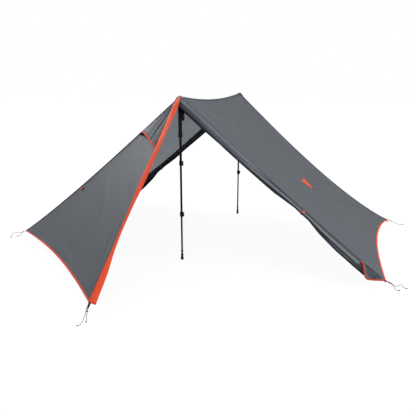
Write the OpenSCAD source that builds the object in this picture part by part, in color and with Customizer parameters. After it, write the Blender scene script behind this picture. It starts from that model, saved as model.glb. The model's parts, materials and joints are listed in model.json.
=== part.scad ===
// Floorless A-frame shelter pitched on two trekking poles.
// Origin: the foot of the front pole on the ground. +X right, +Y to the rear pole, +Z up.
// One front door flap is staked out, the other three are rolled up under their hips.

/* [Canopy] */
// Height of both ridge ends above the ground
ridge_height = 1220; // [1200:1:1240]
// Distance between the two poles
ridge_length = 1400; // [1380:1:1420]
// Half of the width between the left and right corners
half_width = 1465; // [1455:1:1475]
// How far a corner stands beyond its pole, along the ridge
corner_overhang = 50; // [45:1:55]
// Height of the four corners above the ground
corner_height = 76; // [74:1:78]
// How far the middle of the ridge hangs below its ends
ridge_sag = 40; // [20:1:50]
// Depth of the catenary cut in the two long hems
hem_cut = 100; // [60:1:120]
// Thickness of the fabric solids
fabric_t = 2; // [1.5:0.1:2.5]
// Width of the sewn hem bindings
binding_w = 12; // [10:1:14]

/* [Staked door] */
// Sideways place of the staked door's tip
tip_x = -105; // [-110:1:-100]
// Distance of the staked door's tip in front of the front pole
tip_reach = 1040; // [1035:1:1045]
// Height of the staked door's tip
tip_height = 100; // [98:1:102]
// Depth of the catenary cut in the door's hem
door_hem_cut = 52; // [30:1:60]
// Height of the storm flap above the door, where it lies over the zip
storm_lift = 9; // [8:0.5:10]

/* [Vent] */
// Where the hood's rim meets the hip, as a share of the hip
vent_hip_end = 0.188; // [0.184:0.001:0.192]
// Where the hood's rim meets the zip edge, as a share of that edge
vent_zip_end = 0.266; // [0.26:0.001:0.27]
// How far the hood's rim stands off the door
vent_rise = 36; // [34:1:38]

/* [Poles] */
// Outer radius of the top section
upper_r = 9; // [8.5:0.1:9.5]
// Wall thickness of the sections
tube_wall = 0.9; // [0.8:0.1:1]
// Running gap between two sections
tube_gap = 0.3; // [0.2:0.05:0.4]
// Height of the bottom edge of the front pole's lower lock
front_lower_lock_z = 345; // [335:1:355]
// Height of the bottom edge of the front pole's upper lock
front_upper_lock_z = 730; // [720:1:735]
// Height of the bottom edge of the rear pole's lower lock
rear_lower_lock_z = 420; // [410:1:430]
// Height of the bottom edge of the rear pole's upper lock
rear_upper_lock_z = 780; // [770:1:785]
// Height of the grip's flared bottom edge
grip_z = 935; // [930:1:940]
// Height of the pivot of the grip's domed head in its cup
head_z = 1191; // [1188:1:1192]

/* [Hidden] */

FABRIC = [0.42, 0.44, 0.47];
ORANGE = [0.91, 0.34, 0.22];
BLACK = [0.06, 0.06, 0.07];
CORD = [0.75, 0.4, 0.42];
METAL = [0.1, 0.1, 0.11];
RUBBER = [0.03, 0.03, 0.03];

left = -1;
right = 1;
seam_gap = 0.5;
// Sag of each panel at the front hip, in the middle and at the rear hip
sag_left = [31, 42, 62];
sag_right = [18, 42, 90];
// Start of every panel and flap below the ridge's middle line and the peaks
ridge_start = 0.002;
peak_start = 0.035;

// ---- vectors and curves
function mix(a, b, t) = a + (b - a) * t;
function unit(v) = v / norm(v);
function hump(t) = 4 * t * (1 - t);
function steps(count, from = 0, to = 1) = [for (i = [0:count]) mix(from, to, i / count)];
function through3(a, t) =
    a[0] * (1 - t) * (1 - 2 * t) + a[1] * hump(t) + a[2] * t * (2 * t - 1);
function sum(v, i = 0) = i < len(v) - 1 ? v[i] + sum(v, i + 1) : v[i];
function centre(ring) = sum(ring) / len(ring);

// One point of a smooth curve through the points of a route
function curve_part(a, b, c, d, t) =
    0.5 * (2 * b + (c - a) * t + (2 * a - 5 * b + 4 * c - d) * t * t
        + (3 * b - a - 3 * c + d) * t * t * t);
function curve(route, per) = concat(
    [for (i = [0:len(route) - 2], k = [0:per - 1])
        let (before = i == 0 ? 2 * route[0] - route[1] : route[i - 1],
             after = i == len(route) - 2 ? 2 * route[i + 1] - route[i] : route[i + 2])
        curve_part(before, route[i], route[i + 1], after, k / per)],
    [route[len(route) - 1]]);

// ---- closed solids from grids and rings
function turned(faces, on) =
    [for (f = faces) on ? [for (i = [len(f) - 1:-1:0]) f[i]] : f];

// A sheet over a grid of points, thickened by half of the vector `grow` on either side
module sheet(grid, grow) {
    rows = len(grid);
    cols = len(grid[0]);
    low = rows * cols;
    far = rows - 1;
    end = cols - 1;
    i_step = grid[1][0] - grid[0][0];
    j_step = grid[0][1] - grid[0][0];
    flat = [for (row = grid) each row];
    points = concat([for (p = flat) p + grow / 2], [for (p = flat) p - grow / 2]);
    top = [for (i = [0:far - 1], j = [0:end - 1])
        let (a = i * cols + j, b = a + 1, c = a + cols, d = c + 1) each [[a, b, d], [a, d, c]]];
    under = [for (f = top) [f[2] + low, f[1] + low, f[0] + low]];
    sides = concat(
        [for (i = [0:far - 1]) let (a = i * cols, c = a + cols) [a + low, a, c, c + low]],
        [for (i = [0:far - 1]) let (a = i * cols + end, c = a + cols) [c + low, c, a, a + low]],
        [for (j = [0:end - 1]) [j + 1 + low, j + 1, j, j + low]],
        [for (j = [0:end - 1]) let (a = far * cols + j) [a + low, a, a + 1, a + 1 + low]]);
    split = [for (f = sides) each [[f[0], f[1], f[2]], [f[0], f[2], f[3]]]];
    polyhedron(points = points,
        faces = turned(concat(top, under, split), cross(i_step, j_step) * grow < 0));
}

// A solid through a row of rings that all have the same number of points
module loft(rings) {
    n = len(rings[0]);
    last = len(rings) - 1;
    ahead = centre(rings[1]) - centre(rings[0]);
    facing = cross(rings[1][1] - rings[1][0], rings[1][2] - rings[1][1]) * ahead;
    points = [for (ring = rings) each ring];
    side = [for (k = [0:last - 1], i = [0:n - 1])
        let (a = k * n + i, b = k * n + (i + 1) % n, c = a + n, d = b + n)
        each [[a, c, d], [a, d, b]]];
    cap = [for (i = [1:n - 2]) [0, i, i + 1]];
    tail = [for (i = [1:n - 2]) [last * n, last * n + i + 1, last * n + i]];
    polyhedron(points = points, faces = turned(concat(side, cap, tail), facing < 0));
}

function ring_at(p, a, b, count) =
    [for (i = [0:count - 1]) p + a * cos(360 * i / count) + b * sin(360 * i / count)];

// A round cord along points; the rings stand square to the run of the points.
// No guy line runs along ring_ref, so the rings never turn over.
ring_ref = [0, -0.8, 0.6];
function heading(path, i) =
    unit(path[min(i + 1, len(path) - 1)] - path[max(i - 1, 0)]);
module tube(path, r) {
    loft([for (i = [0:len(path) - 1])
        let (d = heading(path, i), a = unit(cross(d, ring_ref)), b = cross(a, d))
        ring_at(path[i], a * r, b * r, 8)]);
}

// Turns the X axis of its children into the direction d, and puts their origin at p
module aim(p, d) {
    translate(p)
        rotate([0, -asin(d[2] / norm(d)), atan2(d[1], d[0])])
            children();
}

// ---- canopy surfaces
function peak(u) = [0, ridge_length * u, ridge_height - ridge_sag * hump(u)];
function corner(side, end) =
    [side * half_width, mix(-corner_overhang, ridge_length + corner_overhang, end),
     corner_height];
function straight_hem(side, u) = mix(corner(side, 0), corner(side, 1), u);
function hem(side, u) =
    let (p = straight_hem(side, u)) p + unit(peak(u) - p) * hem_cut * hump(u);
function sags(side) = side == left ? sag_left : sag_right;
// The fabric hangs deepest a little below the middle of the slope
function slope_sag(v) = pow(hump(pow(v, 1.35)), 0.8);
function panel(side, u, v) =
    mix(peak(u), hem(side, u), v) - [0, 0, through3(sags(side), u) * slope_sag(v)];
function hip(side, end, t) = panel(side, end, t);
function panel_normal(side) =
    unit([side * (ridge_height - corner_height), 0, half_width]);
// Share of a slope that its hem binding takes up
binding_share = binding_w / norm(corner(right, 0) - peak(0));

tip = [tip_x, -tip_reach, tip_height];
function zip_edge(t) = mix(peak(0), tip, t);
zip_dir = unit(tip - peak(0));
door_raw = cross(tip - peak(0), corner(left, 0) - peak(0));
door_normal = unit(door_raw[2] > 0 ? door_raw : -door_raw);
// Points from the zip edge towards the hip, in the door's plane
door_in = unit(cross(door_normal, zip_dir)[0] < 0
    ? cross(door_normal, zip_dir) : -cross(door_normal, zip_dir));
// The door's own face: s runs from the hip to the zip edge, t from the peak to the hem
zip_inset = 16;
function door(s, t) =
    mix(hip(left, 0, t) - panel_normal(left) * 2 * fabric_t,
        zip_edge(t) + door_in * min(zip_inset, 300 * t), s)
    - door_normal * 14 * hump(s) * hump(min(t, 1));
function door_end(s) = 1 - (door_hem_cut / 1500) * hump(s);
function vent_end(s) = mix(vent_hip_end, vent_zip_end, s) - 0.014 * hump(s);

panel_rows = 12;
module main_panel(side) {
    sheet([for (u = steps(panel_rows))
        [for (v = steps(14, ridge_start, 1 - binding_share)) panel(side, u, v)]],
        panel_normal(side) * fabric_t);
}

module left_panel() {
    color(FABRIC) main_panel(left);
}

module right_panel() {
    color(FABRIC) main_panel(right);
}

// The felled seam's tape, laid over both panels along the ridge
module ridge_tape() {
    half = 11;
    lift = 3.4;
    fall = half * (ridge_height - corner_height) / half_width;
    color(FABRIC)
        sheet([for (u = steps(14, 0.012, 0.988))
            let (p = peak(u) + [0, 0, lift])
            [p + [-half, 0, -fall], p, p + [half, 0, -fall]]], [0, 0, 1.2]);
}

module hem_binding(side) {
    gap = seam_gap / norm(corner(right, 0) - peak(0));
    color(ORANGE)
        sheet([for (u = steps(panel_rows))
            let (k = min(max(u, 0.006), 0.994))
            [panel(side, k, 1 - binding_share + gap), panel(side, k, 1)]],
            panel_normal(side) * 2 * fabric_t);
}

module left_hem_binding() {
    hem_binding(left);
}

module right_hem_binding() {
    hem_binding(right);
}

// ---- staked door
module front_left_flap() {
    share = binding_w / 1500;
    color(FABRIC)
        sheet([for (s = steps(10))
            [for (k = steps(12)) door(s, mix(vent_end(s) + 0.004, door_end(s) - share, k))]],
            door_normal * fabric_t);
}

module front_left_flap_hem() {
    share = (binding_w - seam_gap) / 1500;
    color(ORANGE)
        sheet([for (s = steps(14, 0.006, 0.994))
            [door(s, door_end(s) - share), door(s, door_end(s))]],
            door_normal * 2 * fabric_t);
}

// Orange strip over the zip: how far it reaches on both sides of the zip edge, by t.
// It is drawn narrow half way down, and its lower end flares outwards.
storm_inner = [[0, 3], [0.05, 12], [0.36, 12], [0.55, 7], [0.7, 1], [0.85, 0], [1.005, -4]];
storm_outer = [[0, 24], [0.05, 50], [0.15, 50], [0.3, 41], [0.45, 36], [0.55, 28],
    [0.7, 24], [0.8, 34], [0.9, 53], [1.005, 65]];
module storm_flap() {
    color(ORANGE)
        sheet([for (t = steps(20, 0.03, 1.005))
            let (p = zip_edge(t) + door_normal * storm_lift,
                 inner = p + door_in * lookup(t, storm_inner),
                 outer = p - door_in * lookup(t, storm_outer))
            [inner, (inner + outer) / 2, outer]],
            door_normal * fabric_t);
}

// Straight spiral coil tape under the storm flap, at the free edge of the door
zip_top = 0.06;
zip_bottom = 0.97;
zip_w = 7;
module zip_coil() {
    length = norm(tip - peak(0)) * (zip_bottom - zip_top);
    color(BLACK)
        aim(zip_edge(zip_top) + door_in * 8, zip_dir)
            translate([length / 2, 0, 0]) cube([length, zip_w, 2.2], center = true);
}

// Slider that straddles the coil, with its pull tab hanging from it
module zip_slider() {
    wall = 1.4;
    gap = 0.6;
    outer_w = zip_w + 2 * (wall + gap);
    outer_h = 2.2 + 2 * (wall + gap);
    slider_l = 14;
    color(BLACK)
        aim(zip_edge(zip_top + 0.02) + door_in * 8, zip_dir) {
            difference() {
                cube([slider_l, outer_w, outer_h], center = true);
                cube([slider_l + 1, outer_w - 2 * wall, outer_h - 2 * wall], center = true);
            }
            translate([slider_l / 2 + 12, 0, -outer_h / 2 + 0.6])
                cube([26, 5, 1.2], center = true);
        }
}

// ---- vent
hood_lift = 3.5;
hood_to = 0.965;
module vent_mesh() {
    color(BLACK)
        sheet([for (s = steps(6))
            [for (k = steps(6)) door(s, mix(peak_start + 0.025, vent_end(s), k))]],
            door_normal * 1);
}

// The rim stands highest in its middle, and dies out under the storm flap
function hood(s, k) =
    door(s, mix(peak_start + 0.015, vent_end(s) + 0.02, k))
    + door_normal * (hood_lift + vent_rise * pow(hump(s), 0.9) * pow(k, 0.8));
module vent_hood() {
    color(FABRIC)
        sheet([for (s = steps(12, 0.02, hood_to)) [for (k = steps(8)) hood(s, k)]],
            door_normal * 1.4);
}

module vent_trim() {
    color(ORANGE)
        sheet([for (s = steps(16, 0.02, hood_to))
            let (p = hood(s, 1), d = unit(hood(s, 1) - hood(s, 0.95)))
            [p + d * seam_gap, p + d * 11]], door_normal * 2.4);
}

// Short strut that props the hood open. It hinges in a small clevis under the hood's rim,
// its ball foot stands on the door, and it swings outwards when it is let go.
strut_s = 0.42;
strut_head = hood(strut_s, 0.93) - door_normal * 9;
strut_foot = door(strut_s, vent_end(strut_s) + 0.034) + door_normal * 5;
strut_dir = unit(strut_foot - strut_head);
strut_l = norm(strut_foot - strut_head);
strut_axis = unit(cross(strut_dir, door_normal));
strut_level = unit([-strut_dir[1], strut_dir[0], 0]);
strut_roll = atan2(strut_axis * cross(strut_dir, strut_level), strut_axis * strut_level);
clevis_turn = acos(strut_dir * door_normal);
strut_pin_r = 1.2;
module strut_frame() {
    aim(strut_head, strut_dir) rotate([strut_roll, 0, 0]) children();
}

module vent_strut_base() {
    color(BLACK)
        strut_frame() rotate([0, clevis_turn, 0])
            difference() {
                union() {
                    translate([5.2, 0, 0]) cube([1.6, 14, 12], center = true);
                    for (y = [-6, 6]) {
                        translate([2.4, y, 0]) cube([4.8, 2, 6], center = true);
                        translate([0, y, 0]) rotate([90, 0, 0])
                            cylinder(r = 3, h = 2, center = true, $fn = 32);
                    }
                }
                rotate([90, 0, 0])
                    cylinder(r = strut_pin_r + 0.06, h = 16, center = true, $fn = 32);
            }
}

module vent_strut() {
    color(BLACK)
        strut_frame() {
            rotate([90, 0, 0]) cylinder(r = 2.4, h = 9, center = true, $fn = 32);
            rotate([90, 0, 0]) cylinder(r = strut_pin_r, h = 13.6, center = true, $fn = 32);
            rotate([0, 90, 0]) cylinder(r = 1.8, h = strut_l, $fn = 32);
            translate([strut_l, 0, 0]) sphere(r = 3, $fn = 32);
        }
}

// ---- rolled doors
// Half depth of a rolled door across the slope, along the hip; the tie pulls it in
front_roll_depth = [[0.05, 12], [0.12, 29], [0.2, 30], [0.35, 28], [0.5, 24], [0.59, 14],
    [0.66, 15], [0.72, 26], [0.8, 33], [0.88, 34], [0.93, 27], [0.985, 6]];
rear_roll_depth = [[0.05, 12], [0.12, 25], [0.2, 29], [0.3, 28], [0.42, 24], [0.52, 26],
    [0.59, 22], [0.66, 24], [0.72, 38], [0.82, 54], [0.9, 41], [0.985, 6]];
// Half width of a rolled door along the ridge's direction
roll_width = [[0.05, 12], [0.25, 18], [0.5, 22], [0.59, 15], [0.66, 15], [0.74, 24],
    [0.9, 20], [0.985, 6]];
roll_gap = 3;
tie_at = 0.625;
function roll_depth(end, t) = lookup(t, end == 0 ? front_roll_depth : rear_roll_depth);
function outwards(end) = end == 0 ? -1 : 1;
function roll_centre(side, end, t) =
    hip(side, end, t) - panel_normal(side) * (roll_depth(end, t) + roll_gap)
    + [0, outwards(end) * 9, 0];
module rolled_flap(side, end) {
    color(FABRIC)
        loft([for (t = concat(steps(16, 0.05, tie_at), steps(12, tie_at + 0.02, 0.985)))
            ring_at(roll_centre(side, end, t), [0, lookup(t, roll_width), 0],
                panel_normal(side) * roll_depth(end, t), 14)]);
}

module front_right_flap() {
    rolled_flap(right, 0);
}

module rear_left_flap() {
    rolled_flap(left, 1);
}

module rear_right_flap() {
    rolled_flap(right, 1);
}

// Hem of a rolled door: along its bottom edge, then up across the roll
function roll_face(side, end, t, drop) =
    [hip(side, end, t)[0], hip(side, end, t)[1] + outwards(end) * 33,
     hip(side, end, t)[2] - drop];
module rolled_hem(side, end) {
    route = [roll_face(side, end, 0.897, 10), roll_face(side, end, 0.904, 50),
        roll_face(side, end, 0.911, 78), roll_face(side, end, 0.921, 82),
        roll_face(side, end, 0.94, 64), roll_face(side, end, 0.965, 37),
        roll_face(side, end, 0.99, 10)];
    color(ORANGE)
        sheet([for (p = curve(route, 3)) [p, p + [0, 0, 9]]],
            [0, fabric_t, 0] + [1.5, 0, 0]);
}

module front_right_flap_hem() {
    rolled_hem(right, 0);
}

module rear_flap_hems() {
    rolled_hem(left, 1);
    rolled_hem(right, 1);
}

// Straps around the rolls, with a barrel toggle in each
slope = atan2(ridge_height - corner_height, half_width);
strap_w = 12;
module on_hip(side, end) {
    p = roll_centre(side, end, tie_at);
    translate(p) mirror([side == left ? 1 : 0, 0, 0]) rotate([0, 90 + slope, 0]) children();
}
module oval(x, y) {
    r = min(x, y);
    hull() for (k = [-1, 1]) translate([k * (x - r), k * (y - r), 0]) circle(r = r, $fn = 32);
}
module tieback_straps() {
    inner_w = lookup(tie_at, roll_width) + 1.2;
    color(ORANGE) {
        for (place = [[right, 0], [left, 1], [right, 1]])
            let (inner = roll_depth(place[1], tie_at) + 1.2)
            on_hip(place[0], place[1])
                linear_extrude(height = strap_w, center = true)
                    difference() {
                        oval(inner + 1.4, inner_w + 1.4);
                        oval(inner, inner_w);
                    }
        sheet([for (k = steps(4, 0.02, 0.07))
            [for (t = [0.592, 0.6]) door(k, t) + door_normal * 5]], door_normal * 1.4);
    }
}

toggle_r = 4;
module tieback_toggles() {
    reach = lookup(tie_at, roll_width) + 2.8 + toggle_r;
    color(BLACK) {
        for (place = [[right, 0], [left, 1], [right, 1]])
            on_hip(place[0], place[1])
                translate([0, outwards(place[1]) * reach, 0])
                    cylinder(r = toggle_r, h = 28, center = true, $fn = 24);
        translate(door(0.085, 0.596) + door_normal * 8)
            rotate([0, 60, 0]) cylinder(r = toggle_r, h = 24, center = true, $fn = 24);
    }
}

// ---- side guy points, a little below the middle of both panels
guy_u = 0.46;
guy_v = 0.588;
module on_panel(side, lift) {
    p = panel(side, guy_u, guy_v);
    q = panel(side, guy_u, guy_v + 0.04);
    tilt = atan2(p[2] - q[2], abs(q[0] - p[0]));
    translate(p) mirror([side == left ? 1 : 0, 0, 0])
        rotate([0, tilt, 0]) translate([0, 0, lift]) children();
}
module side_guy_tabs() {
    color(ORANGE)
        for (side = [left, right])
            on_panel(side, 3.5)
                linear_extrude(height = fabric_t)
                    polygon([[-55, -45], [-55, 45], [55, 5], [55, -5]]);
}

module side_guy_loops() {
    color(BLACK)
        for (side = [left, right])
            on_panel(side, 3.5)
                translate([65, 0, 0])
                    linear_extrude(height = fabric_t)
                        difference() {
                            circle(r = 9, $fn = 32);
                            circle(r = 6, $fn = 32);
                        }
}

// ---- corner loops and tensioners
fall = -0.52;
tip_out = [-0.1, -0.85, -0.85];
fl_out = [-1, -0.1, fall];
fr_out = [1, 0.2, fall];
rl_out = [-1, 0.25, fall];
rr_out = [1, 0.25, fall];
staked = [[tip, tip_out], [corner(left, 0), fl_out], [corner(right, 0), fr_out],
    [corner(left, 1), rl_out], [corner(right, 1), rr_out]];
loop_start = 4;
loop_l = 20;
buckle_l = 14;
module corner_loops() {
    color(BLACK)
        for (place = staked)
            aim(place[0], place[1])
                translate([loop_start + loop_l / 2, 0, 0])
                    difference() {
                        cube([loop_l, 12, 5], center = true);
                        translate([3, 0, 0]) cube([loop_l - 10, 13, 2], center = true);
                    }
}

// Ladder buckle with two slots; the guy line comes out of its far end
module corner_tensioners() {
    color(BLACK)
        for (place = staked)
            aim(place[0], place[1])
                translate([loop_start + loop_l + seam_gap + buckle_l / 2, 0, 0])
                    difference() {
                        cube([buckle_l, 13, 4], center = true);
                        for (x = [-3.5, 2.5])
                            translate([x, 0, 0]) cube([3, 9, 5], center = true);
                    }
}

// ---- guy lines, each lying on the ground at its outer end
cord_r = 1.6;
tip_route = [[-111, -1068, 72], [-112, -1076, 58], [-113, -1085, 42],
    [-115, -1096, 25], [-117, -1108, 11], [-119, -1120, 3], [-122, -1132, 1.6],
    [-126, -1141, 1.6]];
tip_tail_route = [[-105, -1068, 72], [-104, -1074, 60], [-103, -1080, 46],
    [-102, -1086, 30], [-101, -1091, 16], [-101, -1094, 6]];
front_left_route = [[-1501, -56, 57], [-1520, -58, 53], [-1552, -60, 52],
    [-1582, -62, 46], [-1604, -64, 30], [-1614, -66, 12], [-1618, -68, 1.6]];
front_left_tail_route = [[-1501, -51, 57], [-1518, -44, 42], [-1540, -34, 25],
    [-1562, -27, 10], [-1580, -22, 1.6], [-1592, -20, 1.6]];
front_right_route = [[1501, -46, 57], [1509, -39, 44], [1520, -29, 26],
    [1531, -19, 10], [1542, -10, 1.6], [1551, -3, 1.6]];
front_right_tail_route = [[1501, -41, 58], [1514, -29, 46], [1528, -17, 33],
    [1544, -5, 36], [1558, 8, 40], [1574, 26, 22], [1588, 40, 4], [1598, 48, 1.6]];
rear_right_route = [[1501, 1459, 57], [1518, 1477, 46], [1538, 1504, 30],
    [1556, 1534, 18], [1575, 1564, 6], [1592, 1588, 1.6], [1602, 1600, 1.6]];
rear_left_route = [[-1501, 1459, 57], [-1519, 1476, 46], [-1537, 1500, 30],
    [-1553, 1526, 18], [-1568, 1552, 6], [-1580, 1572, 1.6], [-1588, 1584, 1.6]];
module guy_line(route) {
    color(CORD)
        tube([for (p = curve(route, 5)) [p[0], p[1], max(p[2], cord_r)]], cord_r);
}

module tip_cord() {
    guy_line(tip_route);
}

module tip_cord_tail() {
    guy_line(tip_tail_route);
}

module front_left_cord() {
    guy_line(front_left_route);
}

module front_left_cord_tail() {
    guy_line(front_left_tail_route);
}

module front_right_cord() {
    guy_line(front_right_route);
}

module front_right_cord_tail() {
    guy_line(front_right_tail_route);
}

module rear_right_cord() {
    guy_line(rear_right_route);
}

module rear_left_cord() {
    guy_line(rear_left_route);
}

// ---- poles, drawn about their own axis with the foot at the origin
middle_r = upper_r - tube_wall - tube_gap;
lower_r = middle_r - tube_wall - tube_gap;
head_r = 15;
lock_r = 12.5;
lock_l = 32;
lever_l = 16;
lever_gap = 0.4;
pin_x = lock_r + 4;
pin_r = 1.4;
overlap = 150;
lower_lock_z = [front_lower_lock_z, rear_lower_lock_z];
upper_lock_z = [front_upper_lock_z, rear_upper_lock_z];
module hollow(r, from, to) {
    translate([0, 0, from])
        difference() {
            cylinder(r = r, h = to - from, $fn = 48);
            translate([0, 0, -1]) cylinder(r = r - tube_wall, h = to - from + 2, $fn = 48);
        }
}

module grip() {
    outline = [[upper_r, grip_z], [16, grip_z], [17, grip_z + 5], [14.5, grip_z + 22],
        [13, grip_z + 60], [13.8, grip_z + 100], [13.4, grip_z + 140],
        [14.6, grip_z + 175], [14, grip_z + 205], [13.4, grip_z + 235], [14, head_z - 6]];
    dome = [for (a = [-10:10:90]) [head_r * cos(a), head_z + head_r * sin(a)]];
    bore_top = head_z - 30;
    color(BLACK)
        rotate_extrude($fn = 48)
            polygon(concat(outline, dome, [[0, bore_top], [upper_r, bore_top]]));
}

// Webbing loop that hangs beside the grip
module wrist_strap() {
    inner = 7;
    thick = 2;
    drop = 112;
    color(BLACK)
        translate([14.8 + inner + thick, 0, head_z - 20])
            rotate([90, 0, 0])
                linear_extrude(height = 16, center = true)
                    difference() {
                        hull() for (z = [-drop, -30]) translate([0, z])
                            circle(r = inner + thick, $fn = 32);
                        hull() for (z = [-drop, -30]) translate([0, z])
                            circle(r = inner, $fn = 32);
                    }
}

module upper_tube(end) {
    color(METAL) hollow(upper_r, upper_lock_z[end] + 4, head_z - 30);
}

// Clamp band on the end of a section, with two ears for the lever's trunnions
module lock(tube_r, z) {
    ear_gap = lever_l + 2 * lever_gap;
    bore = tube_r - tube_wall;
    color(BLACK)
        difference() {
            translate([0, 0, z]) {
                cylinder(r = lock_r, h = lock_l, $fn = 48);
                difference() {
                    translate([lock_r - 3, -4.5, 0]) cube([11.5, 9, lock_l]);
                    translate([lock_r - 4, -5, (lock_l - ear_gap) / 2])
                        cube([20, 10, ear_gap]);
                }
            }
            translate([0, 0, z - 1]) cylinder(r = bore, h = 6, $fn = 48);
            translate([0, 0, z + 4]) cylinder(r = tube_r, h = lock_l, $fn = 48);
            translate([pin_x, 0, z - 1]) cylinder(r = pin_r + 0.05, h = lock_l + 2, $fn = 32);
        }
}

// Cam lever that wraps round the clamp band, turned by its two trunnions
module lever(z) {
    mid = z + lock_l / 2;
    inner = lock_r + lever_gap + 0.2;
    color(BLACK)
        translate([0, 0, mid]) {
            translate([pin_x, 0, 0]) cylinder(r = 3.2, h = lever_l, center = true, $fn = 32);
            translate([pin_x, 0, 0]) cylinder(r = pin_r, h = lock_l - 4, center = true, $fn = 32);
            linear_extrude(height = lever_l, center = true)
                difference() {
                    circle(r = inner + 2.4, $fn = 64);
                    circle(r = inner, $fn = 64);
                    polygon([[0, 0], [40, 5], [40, -40], [-40, -40], [-40, 20]]);
                }
        }
}

module upper_lock(end) {
    lock(upper_r, upper_lock_z[end]);
}

module upper_lever(end) {
    lever(upper_lock_z[end]);
}

module middle_tube(end) {
    color(METAL) hollow(middle_r, lower_lock_z[end] + 4, upper_lock_z[end] + overlap);
}

module lower_lock(end) {
    lock(middle_r, lower_lock_z[end]);
}

module lower_lever(end) {
    lever(lower_lock_z[end]);
}

foot_h = 47;
module lower_tube(end) {
    color(METAL) {
        hollow(lower_r, foot_h - 8, lower_lock_z[end] + overlap);
        translate([0, 0, 64])
            difference() {
                cylinder(r = lower_r + 2.4, h = 7, $fn = 48);
                translate([0, 0, -1]) cylinder(r = lower_r - 0.3, h = 9, $fn = 48);
            }
    }
}

// Rubber tip cover
module foot() {
    color(RUBBER)
        rotate_extrude($fn = 48)
            polygon([[0, 0], [9, 0], [11.5, 3], [11.5, 12], [9.5, 20], [9, foot_h - 3],
                [8.2, foot_h], [lower_r, foot_h], [lower_r, foot_h - 8],
                [lower_r - tube_wall, foot_h - 8], [0, foot_h - 8]]);
}

module at_rear() {
    translate([0, ridge_length, 0]) children();
}

// Domed pocket under each peak that the grip's head turns in
module peak_cup() {
    inner = head_r + 0.6;
    outer = inner + 2;
    color(FABRIC)
        rotate_extrude($fn = 48)
            polygon(concat(
                [for (a = [0:10:90]) [outer * cos(a), head_z + outer * sin(a)]],
                [for (a = [90:-10:0]) [inner * cos(a), head_z + inner * sin(a)]]));
}

module front_peak_cup() {
    peak_cup();
}

// Ladder buckle beside the top of the storm flap, flat over the staked door
peak_buckle_at = [-14, -20, ridge_height - 14];
module peak_buckle() {
    x = door_in;
    y = zip_dir;
    z = door_normal;
    color(BLACK)
        translate(peak_buckle_at)
            multmatrix([[x[0], y[0], z[0], 0], [x[1], y[1], z[1], 0], [x[2], y[2], z[2], 0]])
                difference() {
                    cube([21, 20, 4], center = true);
                    for (k = [-4, 4])
                        translate([k, 0, 0]) cube([2.4, 14, 5], center = true);
                }
}

module rear_peak_cup() {
    at_rear() peak_cup();
}

left_panel();
right_panel();
ridge_tape();
left_hem_binding();
right_hem_binding();
front_left_flap();
front_left_flap_hem();
storm_flap();
zip_coil();
front_right_flap();
front_right_flap_hem();
rear_left_flap();
rear_right_flap();
rear_flap_hems();
vent_mesh();
vent_hood();
vent_trim();
vent_strut_base();
vent_strut();
zip_slider();
front_peak_cup();
rear_peak_cup();
peak_buckle();
tieback_straps();
tieback_toggles();
side_guy_tabs();
side_guy_loops();
corner_loops();
corner_tensioners();
tip_cord();
tip_cord_tail();
front_left_cord();
front_left_cord_tail();
front_right_cord();
front_right_cord_tail();
rear_right_cord();
rear_left_cord();
grip();  // front_grip
wrist_strap();  // front_wrist_strap
upper_tube(0);  // front_upper_tube
upper_lock(0);  // front_upper_lock
upper_lever(0);  // front_upper_lever
middle_tube(0);  // front_middle_tube
lower_lock(0);  // front_lower_lock
lower_lever(0);  // front_lower_lever
lower_tube(0);  // front_lower_tube
foot();  // front_foot
at_rear() grip();  // rear_grip
at_rear() wrist_strap();  // rear_wrist_strap
at_rear() upper_tube(1);  // rear_upper_tube
at_rear() upper_lock(1);  // rear_upper_lock
at_rear() upper_lever(1);  // rear_upper_lever
at_rear() middle_tube(1);  // rear_middle_tube
at_rear() lower_lock(1);  // rear_lower_lock
at_rear() lower_lever(1);  // rear_lower_lever
at_rear() lower_tube(1);  // rear_lower_tube
at_rear() foot();  // rear_foot
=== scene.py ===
"""Floorless A-frame shelter on two trekking poles: its looks, in metres, around the frame."""
import json
import math

import bmesh
import bpy
import numpy as np
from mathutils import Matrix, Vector


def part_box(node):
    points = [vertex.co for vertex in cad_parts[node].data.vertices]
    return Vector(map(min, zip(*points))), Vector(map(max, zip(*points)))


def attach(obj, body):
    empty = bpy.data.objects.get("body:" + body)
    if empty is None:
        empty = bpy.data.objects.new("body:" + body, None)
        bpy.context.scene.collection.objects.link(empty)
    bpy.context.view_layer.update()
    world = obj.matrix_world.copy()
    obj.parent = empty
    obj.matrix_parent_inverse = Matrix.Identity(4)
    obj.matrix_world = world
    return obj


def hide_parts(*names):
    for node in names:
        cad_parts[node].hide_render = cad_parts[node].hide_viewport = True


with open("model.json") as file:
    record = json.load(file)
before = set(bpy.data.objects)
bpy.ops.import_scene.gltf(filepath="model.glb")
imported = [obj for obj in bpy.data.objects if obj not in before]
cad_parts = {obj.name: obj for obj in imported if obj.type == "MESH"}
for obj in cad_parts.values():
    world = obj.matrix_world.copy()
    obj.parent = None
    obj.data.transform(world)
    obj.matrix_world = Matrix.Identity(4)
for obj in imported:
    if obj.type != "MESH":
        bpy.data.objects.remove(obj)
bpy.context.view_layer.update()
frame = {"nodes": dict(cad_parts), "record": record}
scene = bpy.context.scene

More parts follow.
